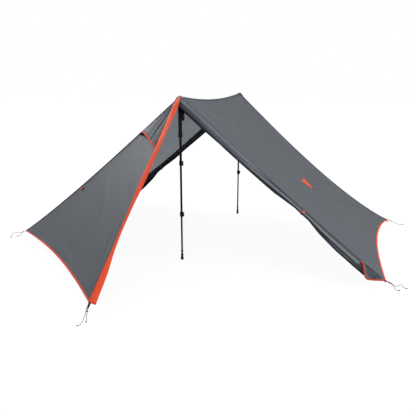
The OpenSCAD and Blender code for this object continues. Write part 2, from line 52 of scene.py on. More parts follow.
# ---- driving sizes, as the frame has them
MOUNTS = {m["name"]: m["pos_m"] for m in frame["record"]["mounts"]}
RIDGE_L = MOUNTS["rear_pole_foot"][1]
RIDGE_Z = 1.22
HALF_W = 1.465
OVERHANG = 0.05
CORNER_Z = 0.076
RIDGE_SAG = 0.04
HEM_CUT = 0.1
BINDING_W = 0.012
TIP = np.array([-0.105, -1.04, 0.1])
DOOR_HEM_CUT = 0.052
STORM_LIFT = 0.0105
GUY_U, GUY_V = 0.46, 0.588
ZIP_INSET = 0.016
LEFT, RIGHT = -1, 1
SAGS = {LEFT: (0.031, 0.042, 0.062), RIGHT: (0.018, 0.042, 0.09)}
CLOTH_T = 0.0008
TAPE_T = 0.003
Y_AXIS, Z_AXIS = np.eye(3)[1:]
END_NAMES = ("front", "rear")
SIDE_NAMES = {LEFT: "left", RIGHT: "right"}


# ---- vectors and curves
def lerp(a, b, t):
    """a at t 0 and b at t 1, for points and an array of t."""
    t = np.asarray(t, float)[..., None]
    return np.asarray(a, float) * (1 - t) + np.asarray(b, float) * t


def unit(v):
    v = np.asarray(v, float)
    return v / np.linalg.norm(v, axis=-1, keepdims=True)


def hump(t):
    return 4 * t * (1 - t)


def ease(t):
    """0 below 0, 1 above 1, and a smooth rise between."""
    t = np.clip(t, 0, 1)
    return t * t * (3 - 2 * t)


def through3(a, t):
    return a[0] * (1 - t) * (1 - 2 * t) + a[1] * hump(t) + a[2] * t * (2 * t - 1)


def lookup(table, t):
    """A size in metres from a table of (t, millimetres)."""
    return np.interp(t, [a for a, b in table], [b for a, b in table]) / 1000


def curve(route, per):
    """Points of a smooth curve through a route's points, per of them between two points."""
    r = np.array(route, float)
    r = np.vstack([2 * r[0] - r[1], r, 2 * r[-1] - r[-2]])
    out = []
    for a, b, c, d in zip(r, r[1:], r[2:], r[3:]):
        t = np.arange(per)[:, None] / per
        out.append(0.5 * (2 * b + (c - a) * t + (2 * a - 5 * b + 4 * c - d) * t**2
                          + (3 * b - a - 3 * c + d) * t**3))
    return np.vstack(out + [r[-2:-1]])


def arc_length(points):
    steps = np.linalg.norm(np.diff(points, axis=0), axis=1)
    return np.concatenate([[0], np.cumsum(steps)])


def stack(*parts):
    """Points or map places from arrays of their coordinates."""
    return np.stack(np.broadcast_arrays(*parts), -1)


def turns(count):
    """Evenly spaced angles once round."""
    return 2 * math.pi * np.arange(count) / count


def bell(x, width):
    return np.exp(-((x / width) ** 2))


def span(x, low, high, soft):
    """1 between low and high, fading to 0 at both over a length."""
    return ease((x - low) / soft) * ease((high - x) / soft)


def column(start, stop, count):
    return np.linspace(start, stop, count)[:, None]


def row(start, stop, count):
    return np.linspace(start, stop, count)[None, :]


def round_rings(path, a, b, radius, count):
    """Round sections along a path; a and b are the directions square to it."""
    turn = turns(count)[:, None]
    return path[:, None] + radius * (a[..., None, :] * np.cos(turn)
                                     + b[..., None, :] * np.sin(turn))


# ---- the canopy's surfaces, the same as the frame's
def peak(u):
    u = np.asarray(u, float)
    return stack(0 * u, RIDGE_L * u, RIDGE_Z - RIDGE_SAG * hump(u))


def corner(side, end):
    return np.array([side * HALF_W, (RIDGE_L + OVERHANG) if end else -OVERHANG, CORNER_Z])


def hem(side, u):
    u = np.asarray(u, float)
    p = lerp(corner(side, 0), corner(side, 1), u)
    return p + unit(peak(u) - p) * (HEM_CUT * hump(u))[..., None]


def slope_sag(v):
    return hump(np.clip(v, 0, 1) ** 1.35) ** 0.8


def panel(side, u, v):
    u, v = np.broadcast_arrays(np.asarray(u, float), np.asarray(v, float))
    p = lerp(peak(u), hem(side, u), v)
    p[..., 2] -= through3(SAGS[side], u) * slope_sag(v)
    return p


def hip(side, end, t):
    return panel(side, float(end), t)


def along_hip(side, end, t):
    return unit(hip(side, end, t + 0.01) - hip(side, end, t - 0.01))


def panel_normal(side):
    return unit([side * (RIDGE_Z - CORNER_Z), 0, HALF_W])


PEAK = peak(0)
HIP_L = float(np.linalg.norm(corner(RIGHT, 0) - PEAK))
ZIP_L = float(np.linalg.norm(TIP - PEAK))
BINDING_SHARE = BINDING_W / HIP_L
DOOR_W, DOOR_L = 1.304, 1.5
DOOR_BINDING_SHARE = BINDING_W / DOOR_L
ZIP_DIR = unit(TIP - PEAK)
DOOR_NORMAL = unit(np.cross(corner(LEFT, 0) - PEAK, TIP - PEAK))
DOOR_NORMAL = DOOR_NORMAL * np.sign(DOOR_NORMAL[2])
DOOR_IN = unit(np.cross(DOOR_NORMAL, ZIP_DIR))
DOOR_IN = -DOOR_IN * np.sign(DOOR_IN[0])


def zip_edge(t):
    return lerp(PEAK, TIP, t)


def door(s, t):
    """The staked door: s runs from the hip to the zip edge, t from the peak to the hem."""
    s, t = np.broadcast_arrays(np.asarray(s, float), np.asarray(t, float))
    inset = np.minimum(ZIP_INSET, 0.3 * t)[..., None]
    flat = lerp(hip(LEFT, 0, t) - panel_normal(LEFT) * 0.004, zip_edge(t) + DOOR_IN * inset, s)
    return flat - DOOR_NORMAL * (0.014 * hump(s) * hump(np.minimum(t, 1)))[..., None]


def door_end(s):
    return 1 - DOOR_HEM_CUT / DOOR_L * hump(s)


def vent_end(s):
    return 0.188 + 0.078 * s - 0.014 * hump(s)


# ---- tension folds: heights over the flat cloth, given in millimetres
def fan(q, origin, folds, reach):
    """Folds that fan out of one held point: each one's direction in degrees, height and width."""
    d = q - np.asarray(origin, float)
    r = np.hypot(d[..., 0], d[..., 1]) + 1e-6
    turn = np.arctan2(d[..., 1], d[..., 0])
    height = 0 * r
    for direction, size, width in folds:
        off = turn - math.radians(direction)
        across = r * np.sin(off) / (width * (0.12 + r))
        along = r / (r + 0.12) * np.exp(-((r / reach) ** 1.5))
        height += size * (np.cos(off) > 0) * np.exp(-(across**2)) * along
    return height / 1000


def ripples(q, waves):
    """Broad shallow unevenness: each wave's height, length along both axes, and phase."""
    height = 0 * q[..., 0]
    for size, long_a, long_b, phase in waves:
        height += size * np.sin(2 * math.pi * (q[..., 0] / long_a + q[..., 1] / long_b) + phase)
    return height / 1000


def creases(q, lines):
    """Single creases. Each is its two ends, height and width."""
    height = 0 * q[..., 0]
    for a, b, size, width in lines:
        a, b = np.array(a, float), np.array(b, float)
        run = b - a
        along = ((q - a) @ run) / (run @ run)
        off = (q - a) - np.clip(along, 0, 1)[..., None] * run
        fade = np.exp(-(((along - 0.5) / 0.45) ** 4))
        height += size * fade * np.exp(-((off**2).sum(-1)) / width**2)
    return height / 1000


# ---- meshes
def grid_faces(rows, cols, wrap_cols=False, wrap_rows=False):
    i, j = np.meshgrid(np.arange(rows - (not wrap_rows)), np.arange(cols - (not wrap_cols)),
                       indexing="ij")
    a, b = i * cols + j, i * cols + (j + 1) % cols
    c, d = (i + 1) % rows * cols + j, (i + 1) % rows * cols + (j + 1) % cols
    return [tuple(f) for f in np.stack([a, b, d, c], -1).reshape(-1, 4).tolist()]


def link(name, data):
    made = bpy.data.objects.new(name, data)
    scene.collection.objects.link(made)
    return made


def mesh_piece(name, points, faces, uvs, materials, body="canopy", slot="fabric", outwards=None):
    """A smooth mesh piece that rides on a body. uvs holds metres for each point."""
    points = np.asarray(points, float).reshape(-1, 3)
    uvs = np.asarray(uvs, float).reshape(-1, 2)
    if outwards is not None:
        p = points[np.array([f[:3] for f in faces])]
        normals = np.cross(p[:, 1] - p[:, 0], p[:, 2] - p[:, 0]).sum(0)
        if normals @ np.asarray(outwards, float) < 0:
            faces = [tuple(reversed(f)) for f in faces]
    mesh = bpy.data.meshes.new(name)
    mesh.from_pydata(points.tolist(), [], faces)
    corners = np.zeros(len(mesh.loops), np.int64)
    mesh.loops.foreach_get("vertex_index", corners)
    layer = mesh.uv_layers.new(name="cloth")
    layer.data.foreach_set("uv", uvs[corners].astype(np.float32).ravel())
    mesh.polygons.foreach_set("use_smooth", [True] * len(mesh.polygons))
    mesh.update()
    for m in materials:
        mesh.materials.append(m)
    piece = link(name, mesh)
    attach(piece, body)
    return piece


def sheet_piece(name, points, uvs, materials, outwards, thickness=CLOTH_T, **kind):
    """Cloth over a grid of points; the second material is its inner face."""
    rows, cols = points.shape[:2]
    piece = mesh_piece(name, points, grid_faces(rows, cols), uvs, materials,
                       outwards=outwards, **kind)
    thicken(piece, thickness, len(materials) > 1)
    return piece


def thicken(piece, thickness, inner_material):
    solid = piece.modifiers.new("thickness", "SOLIDIFY")
    solid.thickness = thickness
    solid.offset = 0
    solid.material_offset = 1 if inner_material else 0
    solid.material_offset_rim = 0


def loft_piece(name, rings, uvs, materials, closed=False, **kind):
    """A closed skin through rings of points; closed joins the last ring to the first."""
    rows, cols = rings.shape[:2]
    faces = grid_faces(rows, cols, wrap_cols=True, wrap_rows=closed)
    if not closed:
        faces += [tuple(range(cols - 1, -1, -1)), tuple(range((rows - 1) * cols, rows * cols))]
    ahead = rings[1].mean(0) - rings[0].mean(0)
    a, b = rings[0][1] - rings[0][0], rings[0][2] - rings[0][1]
    if np.cross(a, b) @ ahead < 0:
        faces = [tuple(reversed(f)) for f in faces]
    return mesh_piece(name, rings, faces, uvs, materials, **kind)


def rounded(wave, power):
    """A sine or cosine, squared off towards -1 and 1."""
    return np.sign(wave) * np.abs(wave) ** power


def tape_rings(path, across, normal, width, thickness):
    """Flat rounded sections along a path, and metres along and across the tape for each point."""
    a = turns(14)
    x = width / 2 * rounded(np.cos(a), 0.35)
    y = thickness / 2 * rounded(np.sin(a), 0.7)
    rings = path[:, None] + across[:, None] * x[:, None] + normal[:, None] * y[:, None]
    return rings, stack(arc_length(path)[:, None], x + width / 2)


def tape_piece(name, path, across, normal, width, thickness, materials, closed=False, **kind):
    path = np.asarray(path, float)
    across = unit(np.broadcast_to(across, path.shape))
    normal = np.broadcast_to(normal, path.shape)
    normal = unit(normal - across * (normal * across).sum(-1, keepdims=True))
    rings, uvs = tape_rings(path, across, normal, width, thickness)
    return loft_piece(name, rings, uvs, materials, closed=closed, **kind)


def lathe_piece(name, place, axis, outline, materials, **kind):
    """A turned piece: outline holds (distance along the axis, radius) in millimetres."""
    axis = unit(axis)
    side = unit(np.cross(axis, [0.3, 0.9, 0.2]))
    a = turns(24)
    around = side * np.cos(a)[:, None] + np.cross(axis, side) * np.sin(a)[:, None]
    h, r = np.array(outline).T[..., None] / 1000
    rings = place + axis * h[..., None] + around * r[..., None]
    return loft_piece(name, rings, stack(h, r * a), materials, **kind)


# ---- materials
WAVE_SCALE = 0.314159  # the scale that gives a wave texture bands one metre wide


class Shader:
    """A material's node tree, with a short call for each kind of node that this script needs."""

    def __init__(self, name):
        self.material = bpy.data.materials.new(name)
        self.material.use_nodes = True
        self.tree = self.material.node_tree
        self.base = self.tree.nodes["Principled BSDF"]
        self.coords = self.tree.nodes.new("ShaderNodeTexCoord")

    def node(self, kind, **inputs):
        made = self.tree.nodes.new("ShaderNode" + kind)
        for name, value in inputs.items():
            self.put(made.inputs[name.replace("_", " ")], value)
        return made

    def put(self, socket, value):
        if isinstance(value, bpy.types.NodeSocket):
            self.tree.links.new(value, socket)
        else:
            socket.default_value = value

    def math(self, operation, a, b=0.0):
        made = self.tree.nodes.new("ShaderNodeMath")
        made.operation = operation
        self.put(made.inputs[0], a)
        self.put(made.inputs[1], b)
        return made.outputs[0]

    def times(self, a, b):
        return self.math("MULTIPLY", a, b)

    def mix(self, share, a, b, blend="MIX"):
        made = self.tree.nodes.new("ShaderNodeMix")
        made.data_type = "RGBA"
        made.blend_type = blend
        self.put(made.inputs[0], share)
        self.put(made.inputs[6], a)
        self.put(made.inputs[7], b)
        return made.outputs[2]

    def place(self, cloth):
        return self.coords.outputs["UV" if cloth else "Object"]

    def noise(self, size, detail=3.0, cloth=True, stretch=None):
        """Noise whose blotches are about size metres across, from 0 to 1."""
        where = self.place(cloth)
        if stretch:
            where = self.node("Mapping", Vector=where, Scale=stretch).outputs[0]
        made = self.node("TexNoise", Vector=where, Scale=1 / size, Detail=detail)
        return made.outputs["Fac"]

    def wave(self, period, direction="X", cloth=True):
        """Bands with a period in metres, from 0 to 1."""
        made = self.node("TexWave", Vector=self.place(cloth), Scale=WAVE_SCALE / period)
        made.bands_direction = direction
        return made.outputs["Fac"]

    def ramp(self, value, low, high):
        """0 at low and 1 at high."""
        return self.node("MapRange", Value=value, From_Min=low, From_Max=high).outputs[0]

    def bump(self, height, strength, distance, before=None):
        made = self.node("Bump", Height=height, Strength=strength, Distance=distance)
        if before is not None:
            self.put(made.inputs["Normal"], before)
        return made.outputs[0]

    def finish(self, **sockets):
        for name, value in sockets.items():
            self.put(self.base.inputs[name.replace("_", " ")], value)
        return self.material


def shade(colour, by):
    return tuple(min(1.0, c * by) for c in colour[:3]) + (1.0,)


# factors on a rolled door's colour: painted shade in its creases and painted highlight on its folds
CREASE_PAINTED_SHADE, FOLD_PAINTED_HIGHLIGHT = (0.12, 0.12, 0.13, 1), (2.6, 2.64, 2.74, 1)


def coated_fabric(name, colour, translucent, sheen=0.12, specular=0.35, with_painted_fold_light=False):
    """Thin coated ripstop: a fine weave, a reinforcing grid of 5 mm, and faint mottling.

    Rolled cloth gets painted shade and painted highlight from its mesh's per-point value, from 0 to
    1: painted shade in its creases and on its underside, painted highlight on its folds."""
    s = Shader(name)
    cloudy = s.noise(0.22, 4.0)
    flecks = s.noise(0.0035, 2.0)
    tint = s.mix(s.ramp(cloudy, 0.3, 0.7), shade(colour, 0.93), shade(colour, 1.07))
    tint = s.mix(s.ramp(flecks, 0.35, 0.75), tint, shade(colour, 0.9))
    lines = s.math("MAXIMUM", s.wave(0.005, "X"), s.wave(0.005, "Y"))
    grid = s.ramp(lines, 0.93, 1.0)
    tint = s.mix(s.times(grid, 0.3), tint, shade(colour, 1.25))
    # painted shade and painted highlight, mixed in by the mesh's per-point value
    if with_painted_fold_light:
        tone = s.tree.nodes.new("ShaderNodeAttribute")
        tone.attribute_name = "painted_roll_light"
        tint = s.mix(s.ramp(tone.outputs["Fac"], 0.0, 1.0),
                     s.mix(1.0, tint, CREASE_PAINTED_SHADE, "MULTIPLY"),
                     s.mix(1.0, tint, FOLD_PAINTED_HIGHLIGHT, "MULTIPLY"))
    weave = s.times(s.wave(0.0009, "X"), s.wave(0.0009, "Y"))
    normal = s.bump(weave, 0.25, 0.0001)
    normal = s.bump(grid, 0.3, 0.00015, normal)
    normal = s.bump(s.noise(0.03, 3.0), 0.12, 0.002, normal)
    rough = s.math("ADD", s.times(s.noise(0.05, 2.0), 0.16), 0.42)
    s.finish(Base_Color=tint, Normal=normal, Roughness=rough, Sheen_Weight=sheen,
             Sheen_Roughness=0.4, Specular_IOR_Level=specular)
    if translucent:
        through = s.node("BsdfTranslucent", Color=LIT_THROUGH, Normal=normal)
        both = s.node("MixShader")
        both.inputs[0].default_value = translucent
        s.tree.links.new(s.base.outputs[0], both.inputs[1])
        s.tree.links.new(through.outputs[0], both.inputs[2])
        s.tree.links.new(both.outputs[0], s.tree.nodes["Material Output"].inputs["Surface"])
    return s.material


def woven_tape(name, colour, rib, stitch_rows, thread):
    """Binding or webbing with ribs across it, and rows of stitches at distances from one edge."""
    s = Shader(name)
    ribs = s.wave(rib, "X")
    tint = s.mix(s.noise(0.06, 3.0), shade(colour, 0.88), shade(colour, 1.12))
    tint = s.mix(s.times(ribs, 0.35), tint, shade(colour, 0.72))
    split = s.node("SeparateXYZ", Vector=s.place(True))
    dash = s.ramp(s.wave(0.0042, "X"), 0.25, 0.45)
    stitches = 0.0
    for place in stitch_rows:
        off = s.math("ABSOLUTE", s.math("SUBTRACT", split.outputs[1], place))
        line = s.ramp(off, 0.0007, 0.0004)
        stitches = s.math("MAXIMUM", stitches, s.times(line, dash))
    if stitch_rows:
        tint = s.mix(stitches, tint, thread)
    normal = s.bump(ribs, 0.35, 0.0002)
    if stitch_rows:
        normal = s.bump(stitches, 0.6, 0.0004, normal)
    return s.finish(Base_Color=tint, Normal=normal, Roughness=0.68,
                    Specular_IOR_Level=0.14)


def braided_cord(name, colour, tracer):
    """Braided cord: crossing strands round it, with a paler tracer."""
    s = Shader(name)
    one = s.wave(0.0022, "DIAGONAL", cloth=False)
    speck = s.noise(0.0018, 1.0, cloth=False)
    tint = s.mix(s.ramp(speck, 0.5, 0.62), colour, tracer)
    tint = s.mix(s.times(one, 0.3), tint, shade(colour, 0.6))
    return s.finish(Base_Color=tint, Normal=s.bump(one, 0.5, 0.0003), Roughness=0.75,
                    Sheen_Weight=0.2)


def moulded_plastic(name, colour, rough):
    """Moulded nylon: a fine spark texture and uneven gloss."""
    s = Shader(name)
    grain = s.noise(0.0007, 2.0, cloth=False)
    tint = s.mix(s.noise(0.01, 2.0, cloth=False), shade(colour, 0.8), shade(colour, 1.25))
    uneven = s.math("ADD", s.times(s.noise(0.006, 3.0, cloth=False), 0.2), rough - 0.1)
    return s.finish(Base_Color=tint, Normal=s.bump(grain, 0.2, 0.0001), Roughness=uneven,
                    Specular_IOR_Level=0.3)


def anodised(name, colour):
    """Black anodised aluminium: drawn along the tube, with faint rubbed streaks."""
    s = Shader(name)
    drawn = s.noise(0.0012, 4.0, cloth=False, stretch=(1, 1, 0.03))
    rubbed = s.ramp(s.noise(0.02, 4.0, cloth=False, stretch=(1, 1, 0.15)), 0.62, 0.8)
    tint = s.mix(s.times(rubbed, 0.4), colour, shade(colour, 3.0))
    rough = s.math("ADD", s.times(drawn, 0.18), 0.28)
    return s.finish(Base_Color=tint, Metallic=0.75, Roughness=rough,
                    Normal=s.bump(drawn, 0.08, 0.0001))


def foam(name, colour, size, strength):
    """Closed-cell foam or rubber: a fine pebbled skin, rubbed paler in places."""
    s = Shader(name)
    cells = s.node("TexVoronoi", Vector=s.place(False), Scale=1 / size)
    worn = s.ramp(s.noise(0.03, 4.0, cloth=False), 0.55, 0.8)
    tint = s.mix(s.times(worn, 0.5), colour, shade(colour, 2.2))
    return s.finish(Base_Color=tint, Roughness=0.82, Specular_IOR_Level=0.3,
                    Normal=s.bump(cells.outputs["Distance"], strength, 0.0003))


def insect_mesh(name, colour):
    """Fine black netting: threads every 1.2 mm over a deeper ground."""
    s = Shader(name)
    threads = s.math("MAXIMUM", s.wave(0.0012, "X"), s.wave(0.0012, "Y"))
    tint = s.mix(s.ramp(threads, 0.5, 0.9), shade(colour, 0.3), shade(colour, 1.6))
    return s.finish(Base_Color=tint, Roughness=0.8, Normal=s.bump(threads, 0.5, 0.0003),
                    Specular_IOR_Level=0.2)


GREY = (0.118, 0.129, 0.147, 1)
GREY_IN = (0.14, 0.15, 0.17, 1)
LIT_THROUGH = (0.86, 0.89, 0.93, 1)
ORANGE_C = (0.82, 0.084, 0.029, 1)
BLACK_C = (0.012, 0.012, 0.013, 1)
M = {
    "fabric": coated_fabric("coated_ripstop", GREY, 0.42),
    "fabric_in": coated_fabric("coated_ripstop_inner", GREY_IN, 0.42),
    "fabric_thick": coated_fabric("coated_ripstop_layers", GREY, 0.0),
    "rolled": coated_fabric("coated_ripstop_rolled", GREY, 0.0, with_painted_fold_light=True),
    "orange": coated_fabric("orange_fabric", ORANGE_C, 0.0, 0.0, 0.12),
    "binding": woven_tape("orange_binding", ORANGE_C, 0.0011, (0.0026,), (0.6, 0.07, 0.03, 1)),
    "seam": woven_tape("seam_tape", shade(GREY, 0.9), 0.0014, (0.002, 0.0195), shade(GREY, 0.5)),
    "webbing": woven_tape("black_webbing", BLACK_C, 0.0016, (), BLACK_C),
    "cord": braided_cord("guy_line", (0.2, 0.01, 0.018, 1), (0.3, 0.035, 0.05, 1)),
    "plastic": moulded_plastic("black_nylon", BLACK_C, 0.45),
    "zip": moulded_plastic("zip_coil_plastic", BLACK_C, 0.5),
    "tube": anodised("black_anodised", (0.02, 0.02, 0.022, 1)),
    "foam": foam("grip_foam", (0.014, 0.014, 0.015, 1), 0.0016, 0.35),
    "rubber": foam("foot_rubber", (0.011, 0.011, 0.011, 1), 0.0009, 0.25),
    "net": insect_mesh("insect_netting", (0.015, 0.015, 0.016, 1)),
}
CLOTH = [M["fabric"], M["fabric_in"]]
ORANGE_TAPE = {"materials": [M["binding"]], "slot": "orange_fabric"}
WEBBING = {"materials": [M["webbing"]], "slot": "webbing"}


# ---- camera
def make_camera():
    """At the viewing place of the reference: front right, a little above the ridge."""
    data = bpy.data.cameras.new("camera")
    data.sensor_width = 36
    data.lens = 39.94
    camera = link("camera", data)
    camera.location = (1.388, -3.034, 1.301)
    camera.rotation_euler = (math.radians(90 - 15.0), 0, math.radians(21.18))
    scene.camera = camera


make_camera()

# ---- guy lines
CORD_R = 0.0016
# the frame's routes, in millimetres
ROUTES = {
    "tip_cord": [
        (-111, -1068, 72), (-112, -1076, 58), (-113, -1085, 42), (-115, -1096, 25),
        (-117, -1108, 11), (-119, -1120, 3), (-122, -1132, 1.6), (-126, -1141, 1.6)],
    "tip_cord_tail": [
        (-105, -1068, 72), (-104, -1074, 60), (-103, -1080, 46), (-102, -1086, 30),
        (-101, -1091, 16), (-101, -1094, 6)],
    "front_left_cord": [
        (-1501, -56, 57), (-1520, -58, 53), (-1552, -60, 52), (-1582, -62, 46),
        (-1604, -64, 30), (-1614, -66, 12), (-1618, -68, 1.6)],
    "front_left_cord_tail": [
        (-1501, -51, 57), (-1518, -44, 42), (-1540, -34, 25), (-1562, -27, 10),
        (-1580, -22, 1.6), (-1592, -20, 1.6)],
    "front_right_cord": [
        (1501, -46, 57), (1509, -39, 44), (1520, -29, 26), (1531, -19, 10), (1542, -10, 1.6),
        (1551, -3, 1.6)],
    "front_right_cord_tail": [
        (1501, -41, 58), (1514, -29, 46), (1528, -17, 33), (1544, -5, 36), (1558, 8, 40),
        (1574, 26, 22), (1588, 40, 4), (1598, 48, 1.6)],
    "rear_right_cord": [
        (1501, 1459, 57), (1518, 1477, 46), (1538, 1504, 30), (1556, 1534, 18),
        (1575, 1564, 6), (1592, 1588, 1.6), (1602, 1600, 1.6)],
    "rear_left_cord": [
        (-1501, 1459, 57), (-1519, 1476, 46), (-1537, 1500, 30), (-1553, 1526, 18),
        (-1568, 1552, 6), (-1580, 1572, 1.6), (-1588, 1584, 1.6)],
}


def knot(name, at, heading, size):
    """A small overhand knot, tied in the line itself."""
    t = turns(72)
    x_axis = unit(heading)
    y_axis = unit(np.cross(Z_AXIS + 0.01, x_axis))
    z_axis = np.cross(x_axis, y_axis)
    path = (np.outer(np.sin(3 * t) * -1.15, x_axis)
            + np.outer(np.sin(t) + 2 * np.sin(2 * t), y_axis)
            + np.outer(np.cos(t) - 2 * np.cos(2 * t), z_axis)) * size + np.asarray(at)
    path[:, 2] = np.maximum(path[:, 2], CORD_R)
    ahead = unit(np.roll(path, -1, 0) - np.roll(path, 1, 0))
    a = unit(np.cross(ahead, [0.21, 0.35, 0.91]))
    rings = round_rings(path, a, np.cross(ahead, a), CORD_R, 8)
    return loft_piece(name, rings, np.zeros(rings.shape[:2] + (2,)), [M["cord"]], closed=True,
                      slot="cord")


def guy_line(name, route):
    points = curve(np.array(route) / 1000, 5)
    points[:, 2] = np.maximum(points[:, 2], CORD_R)
    data = bpy.data.curves.new(name + "_braid", "CURVE")
    data.dimensions = "3D"
    data.bevel_depth = CORD_R
    data.bevel_resolution = 3
    data.use_fill_caps = True
    spline = data.splines.new("POLY")
    spline.points.add(len(points) - 1)
    for point, at in zip(spline.points, points):
        point.co = (*at, 1)
    data.materials.append(M["cord"])
    line = link(name + "_braid", data)
    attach(line, "canopy")
    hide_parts(name)
    pieces = [knot(name + "_end_knot", points[-1] + [0, 0, 0.001], points[-1] - points[-3],
                   0.0014)]
    if name == "tip_cord_tail":
        pieces.append(knot("tip_cord_hitch", points[4], points[5] - points[3], 0.002))
    round(float(arc_length(points)[-1]), 3)


for cord_name, cord_route in ROUTES.items():
    guy_line(cord_name, cord_route)


# ---- main panels
def panel_folds(q):
    """Folds of one slope; q holds metres along the ridge and down the slope."""
    low = HIP_L
    height = fan(q, (0, low), [(-82, 4, 0.05), (-68, -3, 0.05), (-54, 3.5, 0.06), (-38, -3, 0.06),
                               (-20, 4, 0.06)], 0.55)
    height += fan(q, (RIDGE_L, low), [(-97, 5, 0.05), (-110, -4, 0.05), (-124, 4, 0.06),
                                      (-141, -4, 0.06), (-160, 5, 0.06)], 0.6)
    height += fan(q, (0, 0), [(78, 3.5, 0.05), (60, -3, 0.05), (44, 3, 0.05),
                              (24, -3, 0.05)], 0.5)
    height += fan(q, (RIDGE_L, 0), [(104, 3, 0.05), (120, -3, 0.05), (140, 3, 0.05)], 0.5)
    height += ripples(q, [(1.2, 0.9, 2.3, 0.4), (0.9, -0.55, 1.1, 1.9), (0.6, 0.33, 0.7, 2.6)])
    middle = (0.5 * RIDGE_L, 0.525 * low)
    height += fan(q, middle, [(-90, 3, 0.05), (-60, -2, 0.06), (-120, -2, 0.06),
                              (90, 3, 0.05)], 0.3)
    height += creases(q, [((0.75, 1.0), (1.15, 1.12), 3, 0.03),
                          ((0.85, 1.16), (1.2, 1.25), -3, 0.035),
                          ((0.55, 1.28), (1.0, 1.4), 2.5, 0.035)])
    return height


def main_panel(side, name, node):
    u = column(0, 1, 101)
    v = row(0.0008, 1 - BINDING_SHARE * 0.6, 161)
    q = stack(u * RIDGE_L, v * HIP_L)
    held = span(u, 0, 1, 0.04) * span(v, 0, 1, 0.03)
    points = panel(side, u, v) + panel_normal(side) * (panel_folds(q) * held * 2.0)[..., None]
    piece = sheet_piece(name, points, q, CLOTH, panel_normal(side))
    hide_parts(node)


main_panel(LEFT, "left_slope", "left_panel")
main_panel(RIGHT, "right_slope", "right_panel")


def ridge_seam():
    u = np.linspace(0.004, 0.996, 81)
    path = peak(u) + Z_AXIS * 0.0012
    a = turns(16)
    half, fall = 0.011, (RIDGE_Z - CORNER_Z) / HALF_W
    x = half * rounded(np.cos(a), 0.4)
    z = 0.0012 * np.sin(a) - (np.sqrt(x**2 + 0.002**2) - 0.002) * fall
    rings = path[:, None] + stack(x, 0 * x, z)
    piece = loft_piece("ridge_seam", rings, stack(arc_length(path)[:, None], x + half), [M["seam"]])
    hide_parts("ridge_tape")


ridge_seam()


def outward(end):
    return -Y_AXIS * (1 - 2 * end)


def hip_name(side, end):
    return f"{END_NAMES[end]}_{SIDE_NAMES[side]}_hip"


def hip_seam(side, end):
    """A felled seam with two rows of stitches, lying on the cloth beside a hip."""
    n = panel_normal(side)
    path = panel(side, abs(end - 0.0045), np.linspace(0.012, 0.985, 91)) + n * 0.0013
    tape_piece(hip_name(side, end) + "_seam", path, -outward(end), n, 0.012, 0.0022, [M["seam"]])


def hip_edges(side, end):
    """The turned edge of cloth along a hip, and the narrow facing inside it."""
    t = np.linspace(0.012, 0.996, 121)
    n, radius = panel_normal(side), 0.0022
    path = hip(side, end, t) - n * 0.0004
    ahead = unit(np.gradient(path, axis=0))
    rings = round_rings(path, n, np.cross(ahead, n), radius, 10)
    loft_piece(hip_name(side, end) + "_piping", rings,
               stack(arc_length(path)[:, None], radius * turns(10)), [M["seam"]])
    facing = hip(side, end, t[:-3]) - n * 0.011 - outward(end) * 0.0035
    tape_piece(hip_name(side, end) + "_facing", facing, n, -outward(end), 0.016, 0.001,
               [M["fabric_in"]])


for make in (hip_seam, hip_edges):
    for side in (LEFT, RIGHT):
        for end in (0, 1):
            make(side, end)


def binding(name, path, across, normal, width=BINDING_W, thickness=TAPE_T):
    """Orange tape over an edge, with a row of stitches along one side."""
    rings, uvs = tape_rings(path, across, np.broadcast_to(normal, path.shape), width, thickness)
    return loft_piece(name, rings, uvs, **ORANGE_TAPE)


def hem_binding(side, name, node):
    u = np.linspace(0.0005, 0.9995, 121)
    outer, inner = panel(side, u, 1.0), panel(side, u, 1 - BINDING_SHARE)
    piece = binding(name, (outer + inner) / 2, unit(outer - inner), panel_normal(side))
    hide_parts(node)


hem_binding(LEFT, "left_hem_tape", "left_hem_binding")
hem_binding(RIGHT, "right_hem_tape", "right_hem_binding")


# ---- staked door
def door_flat(points):
    """Metres from the tip, towards the hip and up the zip, for points of the staked door."""
    off = points - TIP
    return np.stack([off @ DOOR_IN, off @ -ZIP_DIR], -1)


def door_folds(points):
    q = door_flat(points)
    left_corner = door_flat(corner(LEFT, 0)[None])[0]
    height = fan(q, (0.0, -0.02), [(87, -5, 0.016), (83, 10, 0.018), (78, -7, 0.02),
                                   (73, 10, 0.02), (67, -7, 0.026), (60, 7, 0.028),
                                   (49, -5, 0.035)], 0.62)
    to_peak = math.degrees(math.atan2(ZIP_L - left_corner[1], -left_corner[0]))
    to_tip = math.degrees(math.atan2(-left_corner[1], -left_corner[0]))
    folds = [(to_peak - 7, 4, 0.04), (to_peak - 18, -3.5, 0.05),
             ((to_peak + to_tip) / 2, 4, 0.05), (to_tip + 16, -3.5, 0.05),
             (to_tip + 7, 4, 0.04)]
    height += fan(q, left_corner, folds, 0.5)
    height += ripples(q, [(1.4, 0.8, 1.9, 0.9), (1, -0.5, 0.9, 2.2)])
    height += creases(q, [((0.45, 0.3), (0.75, 0.42), -3, 0.03),
                          ((0.35, 0.62), (0.6, 0.95), 3, 0.04)])
    return height


def staked_door():
    s, k = column(0, 1, 101), row(0, 1, 121)
    t = (vent_end(s) + 0.022 + 0.012 * (1 - s)) * (1 - k) \
        + (door_end(s) - DOOR_BINDING_SHARE * 0.5) * k
    points = door(s, t)
    held = ease(s / 0.05) * ease((1 - s) / 0.02) * ease((1 - k) / 0.03) * ease(k / 0.04)
    points = points + DOOR_NORMAL * (door_folds(points) * held)[..., None]
    piece = sheet_piece("staked_door", points, door_flat(points), CLOTH, DOOR_NORMAL)
    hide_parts("front_left_flap")


staked_door()


def door_hem():
    s = np.linspace(0.002, 0.998, 111)
    outer, inner = door(s, door_end(s)), door(s, door_end(s) - DOOR_BINDING_SHARE)
    piece = binding("staked_door_hem", (outer + inner) / 2, unit(outer - inner), DOOR_NORMAL)
    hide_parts("front_left_flap_hem")


door_hem()


